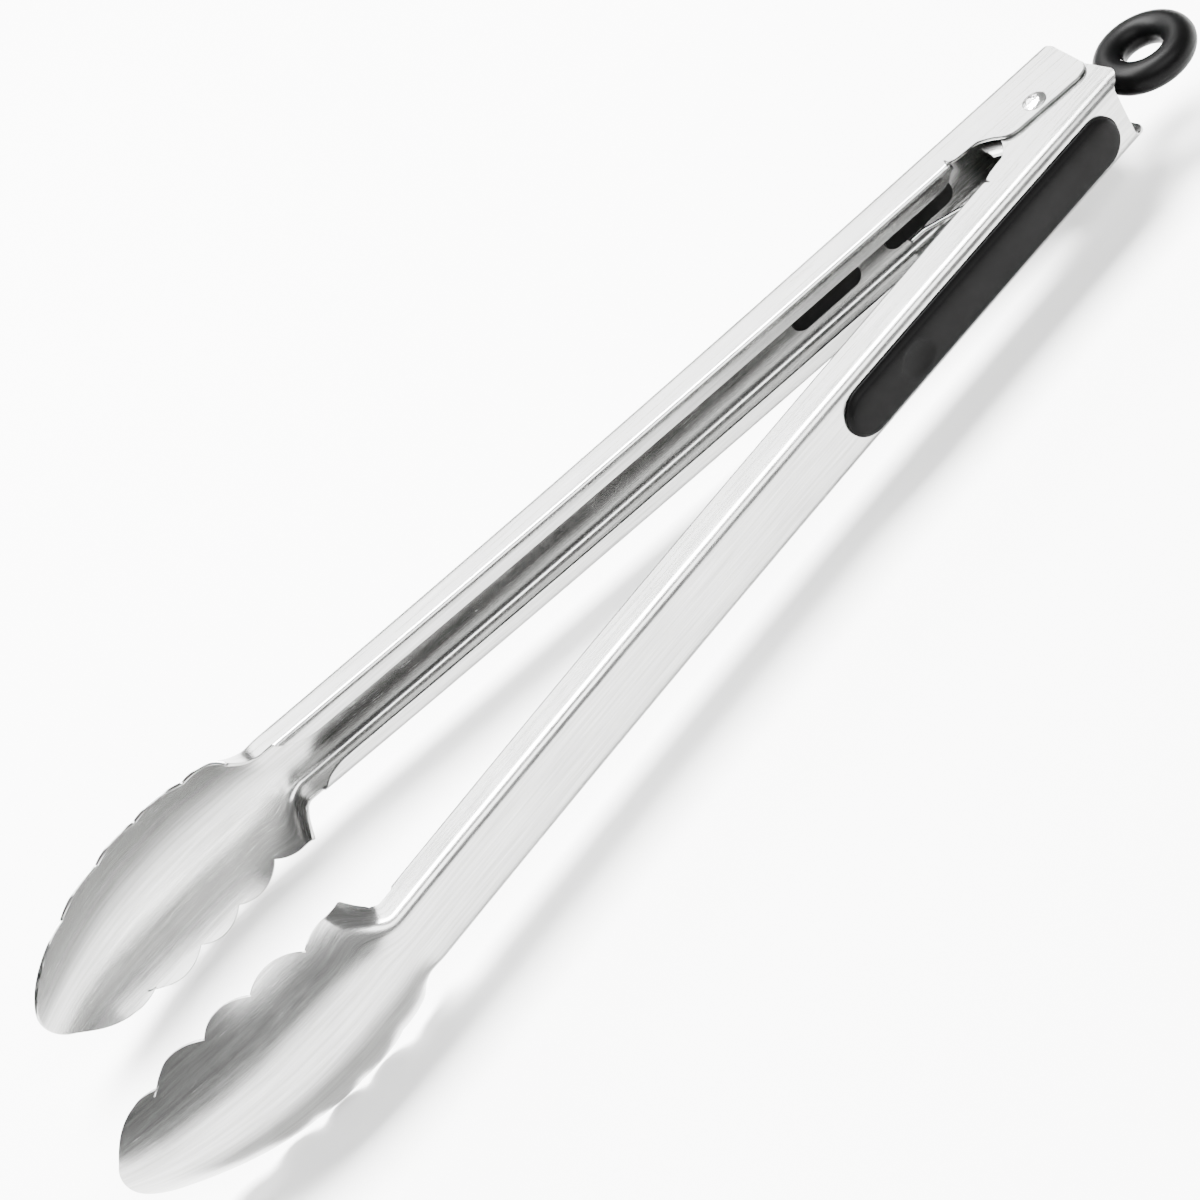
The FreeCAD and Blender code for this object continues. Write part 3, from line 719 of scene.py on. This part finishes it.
    def lip_end(self, x: Array) -> Array:
        """Half the gap between the lips, flaring out to the side walls at both ends.

        Args:
            x: places along the arm.

        Returns:
            Half gaps in millimetres.
        """
        inner = self.half - self.lip_width
        rise = [inner, inner + 0.35, inner + 1.9, self.half - 0.8, self.half + 1.0]
        share = np.array([0.0, 0.3, 0.62, 0.86, 1.0])
        at_neck = through(self.neck - 16.0 + 14.0 * share, rise, x)
        at_hinge = through(np.flip(34.0 - 8.0 * share), np.flip(rise), x)
        return np.maximum(at_neck, at_hinge)

    def lobes(self, x: Array) -> Array:
        """Half width of the scalloped rim: circle arcs between the cusps.

        Each arc runs through two cusps and a point off the middle of the chord between them. Its height is
        the centre's height plus the root of the radius squared less the distance from the centre squared.

        Args:
            x: places along the arm.

        Returns:
            Half widths in millimetres.
        """
        cx = self.neck + np.array(self.cusp_place)
        cz = np.array(self.cusp_half)
        run, rise = np.diff(cx), np.diff(cz)
        length = np.hypot(run, rise)
        lift = self.lobe_rise * length / 16.0
        mx = np.concatenate([[self.neck + 8.6], (cx[1:] + cx[:-1]) / 2 - rise / length * lift])
        mz = np.concatenate([[self.half + 8.6], (cz[1:] + cz[:-1]) / 2 + run / length * lift])
        ax = np.concatenate([[self.neck + 3.5], cx[:-1]])
        az = np.concatenate([[self.half], cz[:-1]])
        p, q = cx - ax, cz - az
        u, v = mx - ax, mz - az
        bottom = 2.0 * (p * v - q * u)
        ox = ax + (v * (p * p + q * q) - q * (u * u + v * v)) / bottom
        oz = az + (p * (u * u + v * v) - u * (p * p + q * q)) / bottom
        radius = np.hypot(ax - ox, az - oz)
        which = np.clip(np.searchsorted(cx, x, side="left"), 0, len(cx) - 1)
        gap = np.maximum(radius[which] ** 2 - (x - ox[which]) ** 2, 0.0)
        return oz[which] + np.sqrt(gap)

    def stations(self) -> Array:
        """Places along the arm where the section is drawn, closer together where the outline turns.

        Returns:
            Rising places in millimetres.
        """
        turn = np.linspace(0.0, math.pi / 2, 12)
        rear = -self.ear_end + self.edge + (self.ear_round - self.edge) * (1.0 - np.cos(turn))
        cusps = self.neck + np.array(self.cusp_place)
        parts = [
            rear,
            np.linspace(-11.0, -3.0, 10),
            np.linspace(-2.6, 2.6, 14),
            np.linspace(3.2, 24.0, 34),
            np.linspace(24.5, 52.5, 57),
            np.linspace(53.5, 59.5, 6),
            np.linspace(60.0, 87.0, 55),
            np.linspace(89.0, 253.0, 56),
            np.linspace(254.0, 275.4, 44),
            np.linspace(275.8, cusps[0], 42),
        ]
        parts += [np.linspace(a, b, 28)[1:] for a, b in zip(cusps, cusps[1:])]
        return np.concatenate(parts)

    def layout(self, x: Array) -> Array:
        """Runs along the section where the columns lie in the plain channel, one row for each place.

        Args:
            x: places along the arm, shape (rows, 1).

        Returns:
            Array of shape (rows, columns of one half).
        """
        flat, turn, wall, fold, lip = self.columns
        share = [np.arange(1, n + 1) / n for n in (turn, wall, fold, lip)]
        one = np.ones_like(x)
        length = self.wall(np.minimum(x, self.neck))
        start = self.shoulder + length
        end = start + math.pi / 2 * self.bend_lip
        return np.concatenate([
            one * self.flat * np.arange(flat + 1) / flat,
            one * (self.flat + (self.shoulder - self.flat) * share[0]),
            self.shoulder + length * share[1],
            start + (end - start) * share[2],
            end + (self.lip_width - self.bend_lip) * share[3],
        ], axis=1)

    def end_run(self, x: Array) -> Array:
        """Run along the section from the middle of the back to the sheet's border at each place.

        Along the arm it ends at the lip's edge, in the lip's bend or on the side wall. In the jaw it is the
        first run whose width reaches the scalloped rim, found on a fine ladder of runs.

        Args:
            x: places along the arm.

        Returns:
            Runs in millimetres.
        """
        at = np.minimum(x, self.neck)
        wall = self.wall(at)
        gap = self.lip_end(x)
        inside = self.half - self.bend_lip
        fold = np.arccos(np.clip((gap - inside) / self.bend_lip, 0.0, 1.0)) * self.bend_lip
        end = self.shoulder + wall + fold + np.maximum(inside - gap, 0.0)
        ear = self.shoulder + self.back(at) - self.bend_back - self.wall_bottom(x)
        end = np.where(x < self.ears_to, ear, end)
        ladder = np.linspace(0.0, self.rim_run, 500)
        width = self.surface(x[:, None] + 0 * ladder, ladder + 0 * x[:, None])[..., 2]
        beyond = width >= self.lobes(x)[:, None] - self.edge
        first = np.where(beyond.any(axis=1), beyond.argmax(axis=1), len(ladder) - 1)
        low = np.maximum(first - 1, 0)
        row = np.arange(len(x))
        step = width[row, first] - width[row, low]
        part = (self.lobes(x) - self.edge - width[row, low]) / np.where(step > 1e-9, step, 1.0)
        rim = ladder[low] + (ladder[first] - ladder[low]) * np.clip(part, 0.0, 1.0)
        rim = np.where(beyond.any(axis=1), rim, self.rim_run)
        jaw = x > self.neck + 3.6
        return np.where(jaw, rim, end - self.edge)

    def half_grid(self) -> tuple:
        """Places and runs of the grid on the upper half of the sheet.

        Columns keep the channel's layout along the arm, squeezed evenly where the border comes in, and
        spread evenly over the jaw. Behind the back wall only the ears go on, so their columns start on the
        rounded rear corner. Past the first lobes the rows bow forward until the last one is the tip.

        Returns:
            Places, runs and the number of the first row that has a back wall.
        """
        x = self.stations()[:, None]
        runs = self.layout(x)
        end = self.end_run(x[:, 0])[:, None]
        past, full = runs - self.shoulder, runs[:, -1:] - self.shoulder
        wanted = self.shoulder + past * (end - self.shoulder) / full
        runs = np.where(runs > self.shoulder, wanted, runs)
        even = np.arange(runs.shape[1]) / (runs.shape[1] - 1.0) * end
        runs = runs + (even - runs) * ease((x - 262.0) / 30.0)
        corner = -self.ear_end + self.ear_round
        back = self.back(x)
        centre = float(self.back(np.array(corner))) - self.ear_round
        away = np.clip(corner - x, 0.0, self.ear_round - 1e-6)
        top = centre + np.sqrt(self.ear_round**2 - away**2) - self.edge
        turn = np.arccos(np.clip((top - back + self.bend_back) / self.bend_back, 0.0, 1.0))
        start = self.flat + self.bend_back * turn + np.maximum(back - self.bend_back - top, 0.0)
        start = np.where(x < corner - 1e-6, start, self.flat)
        share = (runs - self.flat) / (runs[:, -1:] - self.flat)
        runs = np.where(runs >= self.flat - 1e-9, start + (runs[:, -1:] - start) * share, runs)
        first = int(np.searchsorted(x[:, 0], corner - 1e-6))
        cusp = self.neck + self.cusp_place[-1]
        bow = (self.tip - self.edge - cusp) * ease((x - self.fan_from) / (cusp - self.fan_from))
        opening = math.atan2(self.cusp_half[-1], 1.3)
        v = np.arange(runs.shape[1]) / (runs.shape[1] - 1.0)
        arc = (np.cos(v * opening) - math.cos(opening)) / (1.0 - math.cos(opening))
        places = x + bow * arc
        late = ease((x - self.fan_from) / 40.0)
        rim = self.lobes(x) - self.edge
        z = rim * (v + (np.sin(v * opening) / math.sin(opening) - v) * late)
        wide = through(self.jaw_place, self.jaw_wide, places - self.neck)
        runs = np.where(x > self.fan_from, z * self.rim_run / wide, runs)
        return places, runs, first

    def slot_depth(self, x: Array, z: Array) -> tuple:
        """How far a point of the back wall is inside the nearest grip slot, and the way out.

        Args:
            x: places along the arm.
            z: heights across it.

        Returns:
            Signed distance to the rounded outline, negative inside, and the two parts of the way out.
        """
        best = None
        for start in self.slots:
            dx, dz = x - start - self.slot_length / 2, z
            qx = np.abs(dx) - self.slot_length / 2 + self.slot_round
            qz = np.abs(dz) - self.slot_half + self.slot_round
            px, pz = np.maximum(qx, 0.0), np.maximum(qz, 0.0)
            away = np.hypot(px, pz)
            gap = away + np.minimum(np.maximum(qx, qz), 0.0) - self.slot_round - self.edge
            safe = np.maximum(away, 1e-9)
            gx = np.where(away > 1e-9, px / safe, qx > qz) * np.sign(dx)
            gz = np.where(away > 1e-9, pz / safe, qx <= qz) * np.sign(dz)
            best = (gap, gx, gz) if best is None else tuple(
                np.where(gap < best[0], new, old) for new, old in zip((gap, gx, gz), best))
        return best

    def skin(self) -> Skin:
        """The whole sheet as a closed skin in the row frame.

        Cells wholly inside a slot or the rivet hole are dropped, and the points left inside its outline are
        moved out to it along the shortest way. Normals come from steps of 0.02 mm along and across.

        Returns:
            The skin.
        """
        places, runs, first = self.half_grid()
        x = np.concatenate([places[:, :0:-1], places], axis=1)
        s = np.concatenate([-runs[:, :0:-1], runs], axis=1)
        middle = runs.shape[1] - 1
        column = np.abs(np.arange(x.shape[1]) - middle)
        on_back = column[None, :] <= self.columns[0] + 0 * x
        gap, gx, gz = self.slot_depth(x, s)
        inside = on_back & (gap < 0.0)
        drop = inside.copy()
        x = np.where(inside, x - gap * gx, x)
        s = np.where(inside, s - gap * gz, s)
        height = self.back(x) - self.bend_back - (np.abs(s) - self.shoulder)
        away = np.hypot(x, height)
        pierced = (np.abs(s) > self.shoulder) & (away < self.hole + self.edge)
        drop |= pierced
        scale = np.where(pierced, (self.hole + self.edge) / np.maximum(away, 1e-6), 1.0)
        x = x * scale
        lower = self.shoulder + self.back(x) - self.bend_back - height * scale
        s = np.where(pierced, np.sign(s) * lower, s)
        gone = drop[:-1, :-1] & drop[1:, :-1] & drop[1:, 1:] & drop[:-1, 1:]
        keep = ~gone
        cell = np.arange(x.shape[1] - 1)
        wing = (cell < middle - self.columns[0]) | (cell >= middle + self.columns[0])
        keep &= (np.arange(x.shape[0] - 1)[:, None] >= first) | wing[None, :]
        h = self.probe
        along = self.surface(x + h, s) - self.surface(x - h, s)
        across = self.surface(x, s + h) - self.surface(x, s - h)
        normal = np.cross(across, along)
        normal /= np.linalg.norm(normal, axis=-1, keepdims=True)
        points = self.surface(x, s)
        face = self.side.to_row(points)
        tips = self.side.to_row(points + normal)
        normal = (tips - face) / MM
        flat = np.stack([x, s], axis=-1)
        return thick_sheet(face, normal, keep, flat, self.thick * MM, self.edge * MM)

    def build(self) -> bpy.types.Object:
        """Makes the arm and lets it ride on its body.

        Returns:
            The object.
        """
        item = self.skin().build(f"{self.side.word}_arm_sheet", SHEET, "brushed_sheet")
        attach(item, self.side.body)
        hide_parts(f"{self.side.word}_arm")
        return item


# --- grips -------------------------------------------------------------------------------------


@dataclass(frozen=True)
class Grip:
    """Soft skin on the back of an arm: a long pillow with a flange round it and a thumb dimple."""

    arm: ArmSheet
    start: float = -7.0
    end: float = 104.0
    half: float = 7.7
    rise: float = 2.8
    flange: float = 0.75
    flange_width: float = 0.42
    crown: float = 2.9
    pocket_inset: float = 1.2
    pocket: float = 1.32
    dimple_place: float = 78.0
    dimple_radius: float = 5.6
    dimple_depth: float = 1.1

    def spine(self) -> tuple:
        """Points on the grip's middle line and outward directions, once round the outline.

        Returns:
            Places on the middle line, and the two parts of each direction.
        """
        left, right = self.start + self.half, self.end - self.half
        straight = np.linspace(left, right, 170)
        turn = np.linspace(-math.pi / 2, math.pi / 2, 40)[1:-1]
        places = np.concatenate([straight, np.full(38, right), straight[::-1], np.full(38, left)])
        angle = np.concatenate([np.full(170, -math.pi / 2), turn, np.full(170, math.pi / 2), turn + math.pi])
        return places, np.cos(angle), np.sin(angle)

    def crown_height(self, x: Array, z: Array, depth: Array) -> Array:
        """Height of the top above the arm's back wall.

        From the flange inwards it is a full, round shouldered crown: rise times one less share to the power
        of crown, to the power of one over crown. The dimple is a ball's hollow joined by a soft minimum.

        Args:
            x: places along the arm.
            z: heights across it.
            depth: distance in from the outline.

        Returns:
            Heights in millimetres.
        """
        wide = self.half - self.flange_width
        share = np.clip(1.0 - (depth - self.flange_width) / wide, 0.0, 1.0)
        top = (1.0 - share**self.crown) ** (1.0 / self.crown)
        height = self.flange + (self.rise - self.flange) * top
        away = np.hypot(x - self.dimple_place, z)
        ball = (self.dimple_radius**2 + self.dimple_depth**2) / (2 * self.dimple_depth)
        hollow = self.rise - self.dimple_depth + ball - np.sqrt(np.maximum(ball**2 - away**2, 0.01))
        soft = 0.07
        joined = -soft * np.logaddexp(-height / soft, -hollow / soft)
        return np.where(away < self.dimple_radius + 3.0, joined, height)

    def skin(self) -> Skin:
        """Rings from the underside's pocket, out to the outline and over the crown to the middle line.

        Returns:
            The closed skin in the row frame.
        """
        places, dx, dz = self.spine()
        top = self.half - self.flange_width
        ease_in = 1.0 - (1.0 - np.linspace(0.0, 1.0, 24)) ** 1.7
        out = [0.0, self.half - self.pocket_inset, self.half - self.pocket_inset, self.half - 0.1, self.half]
        high = [self.pocket, self.pocket, 0.01, 0.01, 0.1]
        out += [self.half, self.half - 0.14, top + 0.04]
        high += [self.flange - 0.14, self.flange, self.flange]
        out = np.array(out + list(top * (1.0 - ease_in)))
        radius = np.maximum(out, 0.0)[:, None]
        x = places + radius * dx
        z = radius * dz + 0 * x
        crown = self.crown_height(x, z, self.half - radius)
        flange = np.array(high + [0.0] * 24)[:, None]
        height = np.where(np.arange(len(out))[:, None] < len(high), flange, crown)
        points = np.stack([x, self.arm.back(x) + height, z], axis=-1)
        faces = grid_faces(len(out), len(places), closed=True)
        if self.arm.side is Side.FAR:
            faces = faces[:, ::-1]
        flat = np.stack([x, z], axis=-1).reshape(-1, 2)
        return Skin(self.arm.side.to_row(points).reshape(-1, 3), faces.tolist(), flat).welded()

    def build(self) -> bpy.types.Object:
        """Makes the grip and lets it ride on its body.

        Returns:
            The object.
        """
        word = self.arm.side.word
        item = self.skin().build(f"{word}_soft_grip", GRIP_RUBBER, "soft_grip")
        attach(item, self.arm.side.body)
        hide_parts(f"{word}_grip")
        return item


# --- hinge -------------------------------------------------------------------------------------


@dataclass(frozen=True)
class Rivet:
    """Rivet through the ears, with a domed and peened head at each end."""

    shank: float = 2.0
    head: float = 3.4
    dome: float = 1.17
    grip: float = 12.0

    def build(self) -> bpy.types.Object:
        """Turns the rivet's profile round its axis, with shallow hollows hammered into the heads.

        The dome's height is dome times one less the radius share to the power of 2.4. The hollows are two
        crossed waves of 0.05 mm that fade out at the rim.

        Returns:
            The object.
        """
        share = np.concatenate([np.linspace(0.0, 0.9, 16), np.linspace(0.92, 1.0, 6)])
        up = 0.16 + (self.dome - 0.16) * (1.0 - share**2.4)
        radius = np.concatenate([share * self.head, [self.head, self.shank, self.shank]])
        height = np.concatenate([self.grip + up, [self.grip + 0.02, self.grip + 0.0, 6.0]])
        radius = np.concatenate([radius, radius[::-1]])[:, None]
        height = np.concatenate([height, -height[::-1]])[:, None]
        angle = np.linspace(0.0, 2 * math.pi, 72, endpoint=False)
        x, y = radius * np.cos(angle), radius * np.sin(angle)
        fade = np.clip(1.0 - radius / self.head, 0.0, 1.0) * (np.abs(height) > self.grip + 0.1)
        wave = 0.06 * np.sin(2.9 * x + 1.3) * np.cos(2.6 * y + 0.4 + 0.6 * x) * fade
        z = height + wave * np.sign(height)
        points = np.stack([x, y, z], axis=-1)
        faces = grid_faces(len(radius), len(angle), closed=True)
        flat = np.stack([x, y], axis=-1).reshape(-1, 2)
        rows = about_hinge(points)
        item = Skin(rows, faces.tolist(), flat).welded().build("domed_rivet", RIVET_STEEL, "rivet_steel")
        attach(item, "far_side")
        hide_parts("hinge_rivet")
        return item


@dataclass(frozen=True)
class TorsionSpring:
    """Coiled wire round the bush with a straight leg lying on each arm's back wall."""

    arm: ArmSheet
    wire: float = 0.7
    coil: float = 4.7
    height: float = 15.0
    leg_place: float = 40.0
    leg_tip: float = 5.0

    def path(self) -> Array:
        """Middle line of the wire from the far leg's tip, round the coil, to the near leg's tip.

        Each leg leaves the coil along its tangent: the angle of the leaving point is the bearing of the
        leg's end plus the arc whose cosine is the coil's radius over the distance.

        Returns:
            Points in millimetres about the hinge.
        """
        x = self.leg_place
        y = float(self.arm.back(np.array(x))) - self.arm.thick - self.wire - 0.02
        c, s = math.cos(OPEN_HALF), math.sin(OPEN_HALF)
        end = np.array([x * c - y * s, x * s + y * c])
        leave = math.atan2(end[1], end[0]) + math.acos(self.coil / math.hypot(*end))
        slope = 2.0 * self.arm.bow_rise * (x - self.arm.bow_place) / self.arm.bow_place**2
        lie = OPEN_HALF + math.atan(slope)
        tip = end + self.leg_tip * np.array([math.cos(lie), math.sin(lie)])
        turns = 7.0 - leave / math.pi
        angle = np.linspace(-leave, -leave + 2 * math.pi * turns, 420)
        coil = np.stack([
            self.coil * np.cos(angle),
            self.coil * np.sin(angle),
            np.linspace(-self.height / 2, self.height / 2, 420),
        ], axis=-1)
        root = coil[-1, :2]
        reach = np.linspace(0.0, 1.0, 40)[1:, None]
        leg = root + (end - root) * reach
        foot = end + (tip - end) * np.linspace(0.0, 1.0, 8)[1:, None]
        near = np.concatenate([leg, foot])
        near = np.concatenate([near, np.full((len(near), 1), self.height / 2)], axis=1)
        far = near[::-1] * np.array([1.0, -1.0, -1.0])
        return np.concatenate([far, coil, near])

    def build(self) -> bpy.types.Object:
        """Sweeps the wire's round section along its middle line, with flat cut ends.

        Each ring lies across the path, with one of its directions at right angles to the hinge axis.

        Returns:
            The object.
        """
        path = self.path()
        run = np.gradient(path, axis=0)
        run /= np.linalg.norm(run, axis=1, keepdims=True)
        side = np.cross(run, np.array([0.0, 0.0, 1.0]))
        side /= np.linalg.norm(side, axis=1, keepdims=True)
        lift = np.cross(side, run)
        angle = np.linspace(0.0, 2 * math.pi, 16, endpoint=False)
        ring = np.cos(angle)[:, None] * side[:, None] + np.sin(angle)[:, None] * lift[:, None]
        size = np.full(len(path), self.wire)
        size[[0, -1]] = self.wire * 0.8
        tube = path[:, None] + size[:, None, None] * ring
        cap = [path[:1, None] + 0 * tube[:1], path[-1:, None] + 0 * tube[:1]]
        points = np.concatenate([cap[0], tube, cap[1]])
        faces = grid_faces(len(points), 16, closed=True)
        flat = np.stack([np.arange(len(points))[:, None] + 0 * points[..., 0], points[..., 2]], axis=-1)
        rows = about_hinge(points)
        skin = Skin(rows, faces.tolist(), flat.reshape(-1, 2)).welded()
        item = skin.build("torsion_spring", WIRE_STEEL, "spring_wire")
        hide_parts("return_spring")
        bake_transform(item)
        return item


@dataclass(frozen=True)
class HangRing:
    """Thick rubber ring moulded on the lock slide's tongue, with a fine parting line round it."""

    place: float = 33.2
    radius: float = 9.95
    tube: float = 4.58
    bore: float = 5.5

    def build(self) -> bpy.types.Object:
        """Turns a circle round the ring's axis and flattens it to the bore.

        The tube's radius has a ridge of 0.05 mm at its widest, a narrow bell curve of the angle round it.

        Returns:
            The object.
        """
        around = np.linspace(0.0, 2 * math.pi, 128, endpoint=False)[:, None]
        turn = np.linspace(0.0, 2 * math.pi, 72, endpoint=False)[None, :]
        off = np.angle(np.exp(1j * turn))
        tube = self.tube - 0.05 + 0.05 * np.exp(-((off / 0.06) ** 2))
        reach = np.maximum(self.radius + tube * np.cos(turn), self.bore)
        x = -self.place + reach * np.cos(around)
        y = reach * np.sin(around)
        z = tube * np.sin(turn) + 0 * x
        points = np.stack([x, y, z], axis=-1)
        index = np.arange(points.shape[0] * points.shape[1]).reshape(points.shape[:2])
        wrap = np.concatenate([index, index[:1]], axis=0)
        wrap = np.concatenate([wrap, wrap[:, :1]], axis=1)
        faces = np.stack([wrap[:-1, :-1], wrap[:-1, 1:], wrap[1:, 1:], wrap[1:, :-1]], axis=-1).reshape(-1, 4)
        flat = np.stack([np.degrees(around + 0 * turn), np.degrees(turn + 0 * around)], axis=-1)
        skin = Skin(Side.FAR.to_row(points).reshape(-1, 3), faces.tolist(), flat.reshape(-1, 2))
        item = skin.build("hanging_ring", RING_RUBBER, "ring_rubber")
        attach(item, "lock")
        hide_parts("hang_ring")
        return item


class HiddenParts:
    """The CAD's own pieces that stay in use: the grips' cores, the bush and the lock slide."""

    finishes = {
        "near_grip_core": CORE_PLASTIC,
        "far_grip_core": CORE_PLASTIC,
        "spacer_bush": BUSH_STEEL,
        "lock_slide": SLIDE_STEEL,
    }

    def dress(self) -> None:
        """Puts each piece's finish on it."""
        for name, finish in self.finishes.items():
            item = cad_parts[name]
            item.data.materials.clear()
            item.data.materials.append(finish.material())


# --- studio ------------------------------------------------------------------------------------


@dataclass(frozen=True)
class SoftBox:
    """One large soft light aimed at the tongs."""

    name: str
    place: tuple
    aim: tuple
    wide: float
    high: float
    power: float

    def build(self) -> None:
        """Makes the light and turns it to its aim."""
        lamp = bpy.data.lights.new(self.name, "AREA")
        lamp.shape = "RECTANGLE"
        lamp.size, lamp.size_y, lamp.energy = self.wide, self.high, self.power
        item = bpy.data.objects.new(self.name, lamp)
        item.location = self.place
        item.rotation_euler = (Vector(self.aim) - Vector(self.place)).to_track_quat("-Z", "Y").to_euler()
        bpy.context.scene.collection.objects.link(item)


@dataclass
class Studio:
    """Pale floor, soft lights and the camera."""

    floor_half: float = 3.0
    floor_level: float = -0.0002
    sky: tuple = (0.45, 0.45, 0.45)
    camera_place: tuple = (0.0601, 0.4448, 0.3905)
    camera_turn: tuple = (42.137, 30.958, 144.989)
    lens: float = 65.17
    lights: list = field(default_factory=lambda: [
        SoftBox("overhead soft box", (0.0, -0.6, 1.65), (0.0, 0.0, 0.0), 1.8, 0.8, 380.0),
        SoftBox("back soft box", (0.0, -1.75, 1.25), (0.0, 0.0, 0.0), 2.6, 0.5, 60.0),
        SoftBox("front soft box", (-0.2, 1.2, 1.5), (0.0, 0.0, 0.0), 1.8, 0.8, 70.0),
    ])

    def build(self) -> None:
        """Makes the floor, the sky, the lights and the camera."""
        half, level = self.floor_half, self.floor_level
        mesh = bpy.data.meshes.new("studio_floor")
        corners = [(-half, -half, level), (half, -half, level), (half, half, level), (-half, half, level)]
        mesh.from_pydata(corners, [], [(0, 1, 2, 3)])
        floor = bpy.data.objects.new("studio_floor", mesh)
        floor.data.materials.append(PaleFloor().material())
        bpy.context.scene.collection.objects.link(floor)
        world = bpy.data.worlds.new("studio air")
        world.use_nodes = True
        shade = world.node_tree.nodes["Background"]
        shade.inputs[0].default_value = (*self.sky, 1.0)
        shade.inputs[1].default_value = 1.0
        bpy.context.scene.world = world
        for light in self.lights:
            light.build()
        lens = bpy.data.cameras.new("main camera")
        lens.lens = self.lens
        lens.sensor_width = 36.0
        lens.clip_start = 0.01
        camera = bpy.data.objects.new("main camera", lens)
        camera.location = self.camera_place
        camera.rotation_euler = Euler([math.radians(a) for a in self.camera_turn], "XYZ")
        bpy.context.scene.collection.objects.link(camera)
        bpy.context.scene.camera = camera


def main() -> None:
    """Builds the tongs and the studio."""
    logging.basicConfig(level=logging.INFO)
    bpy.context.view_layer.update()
    far = ArmSheet(Side.FAR, 12.0)
    near = ArmSheet(Side.NEAR, 10.85)
    for arm in (far, near):
        arm.build()
        Grip(arm).build()
    Rivet().build()
    TorsionSpring(far).build()
    HangRing().build()
    HiddenParts().dress()
    Studio().build()


if __name__ == "__main__":
    main()
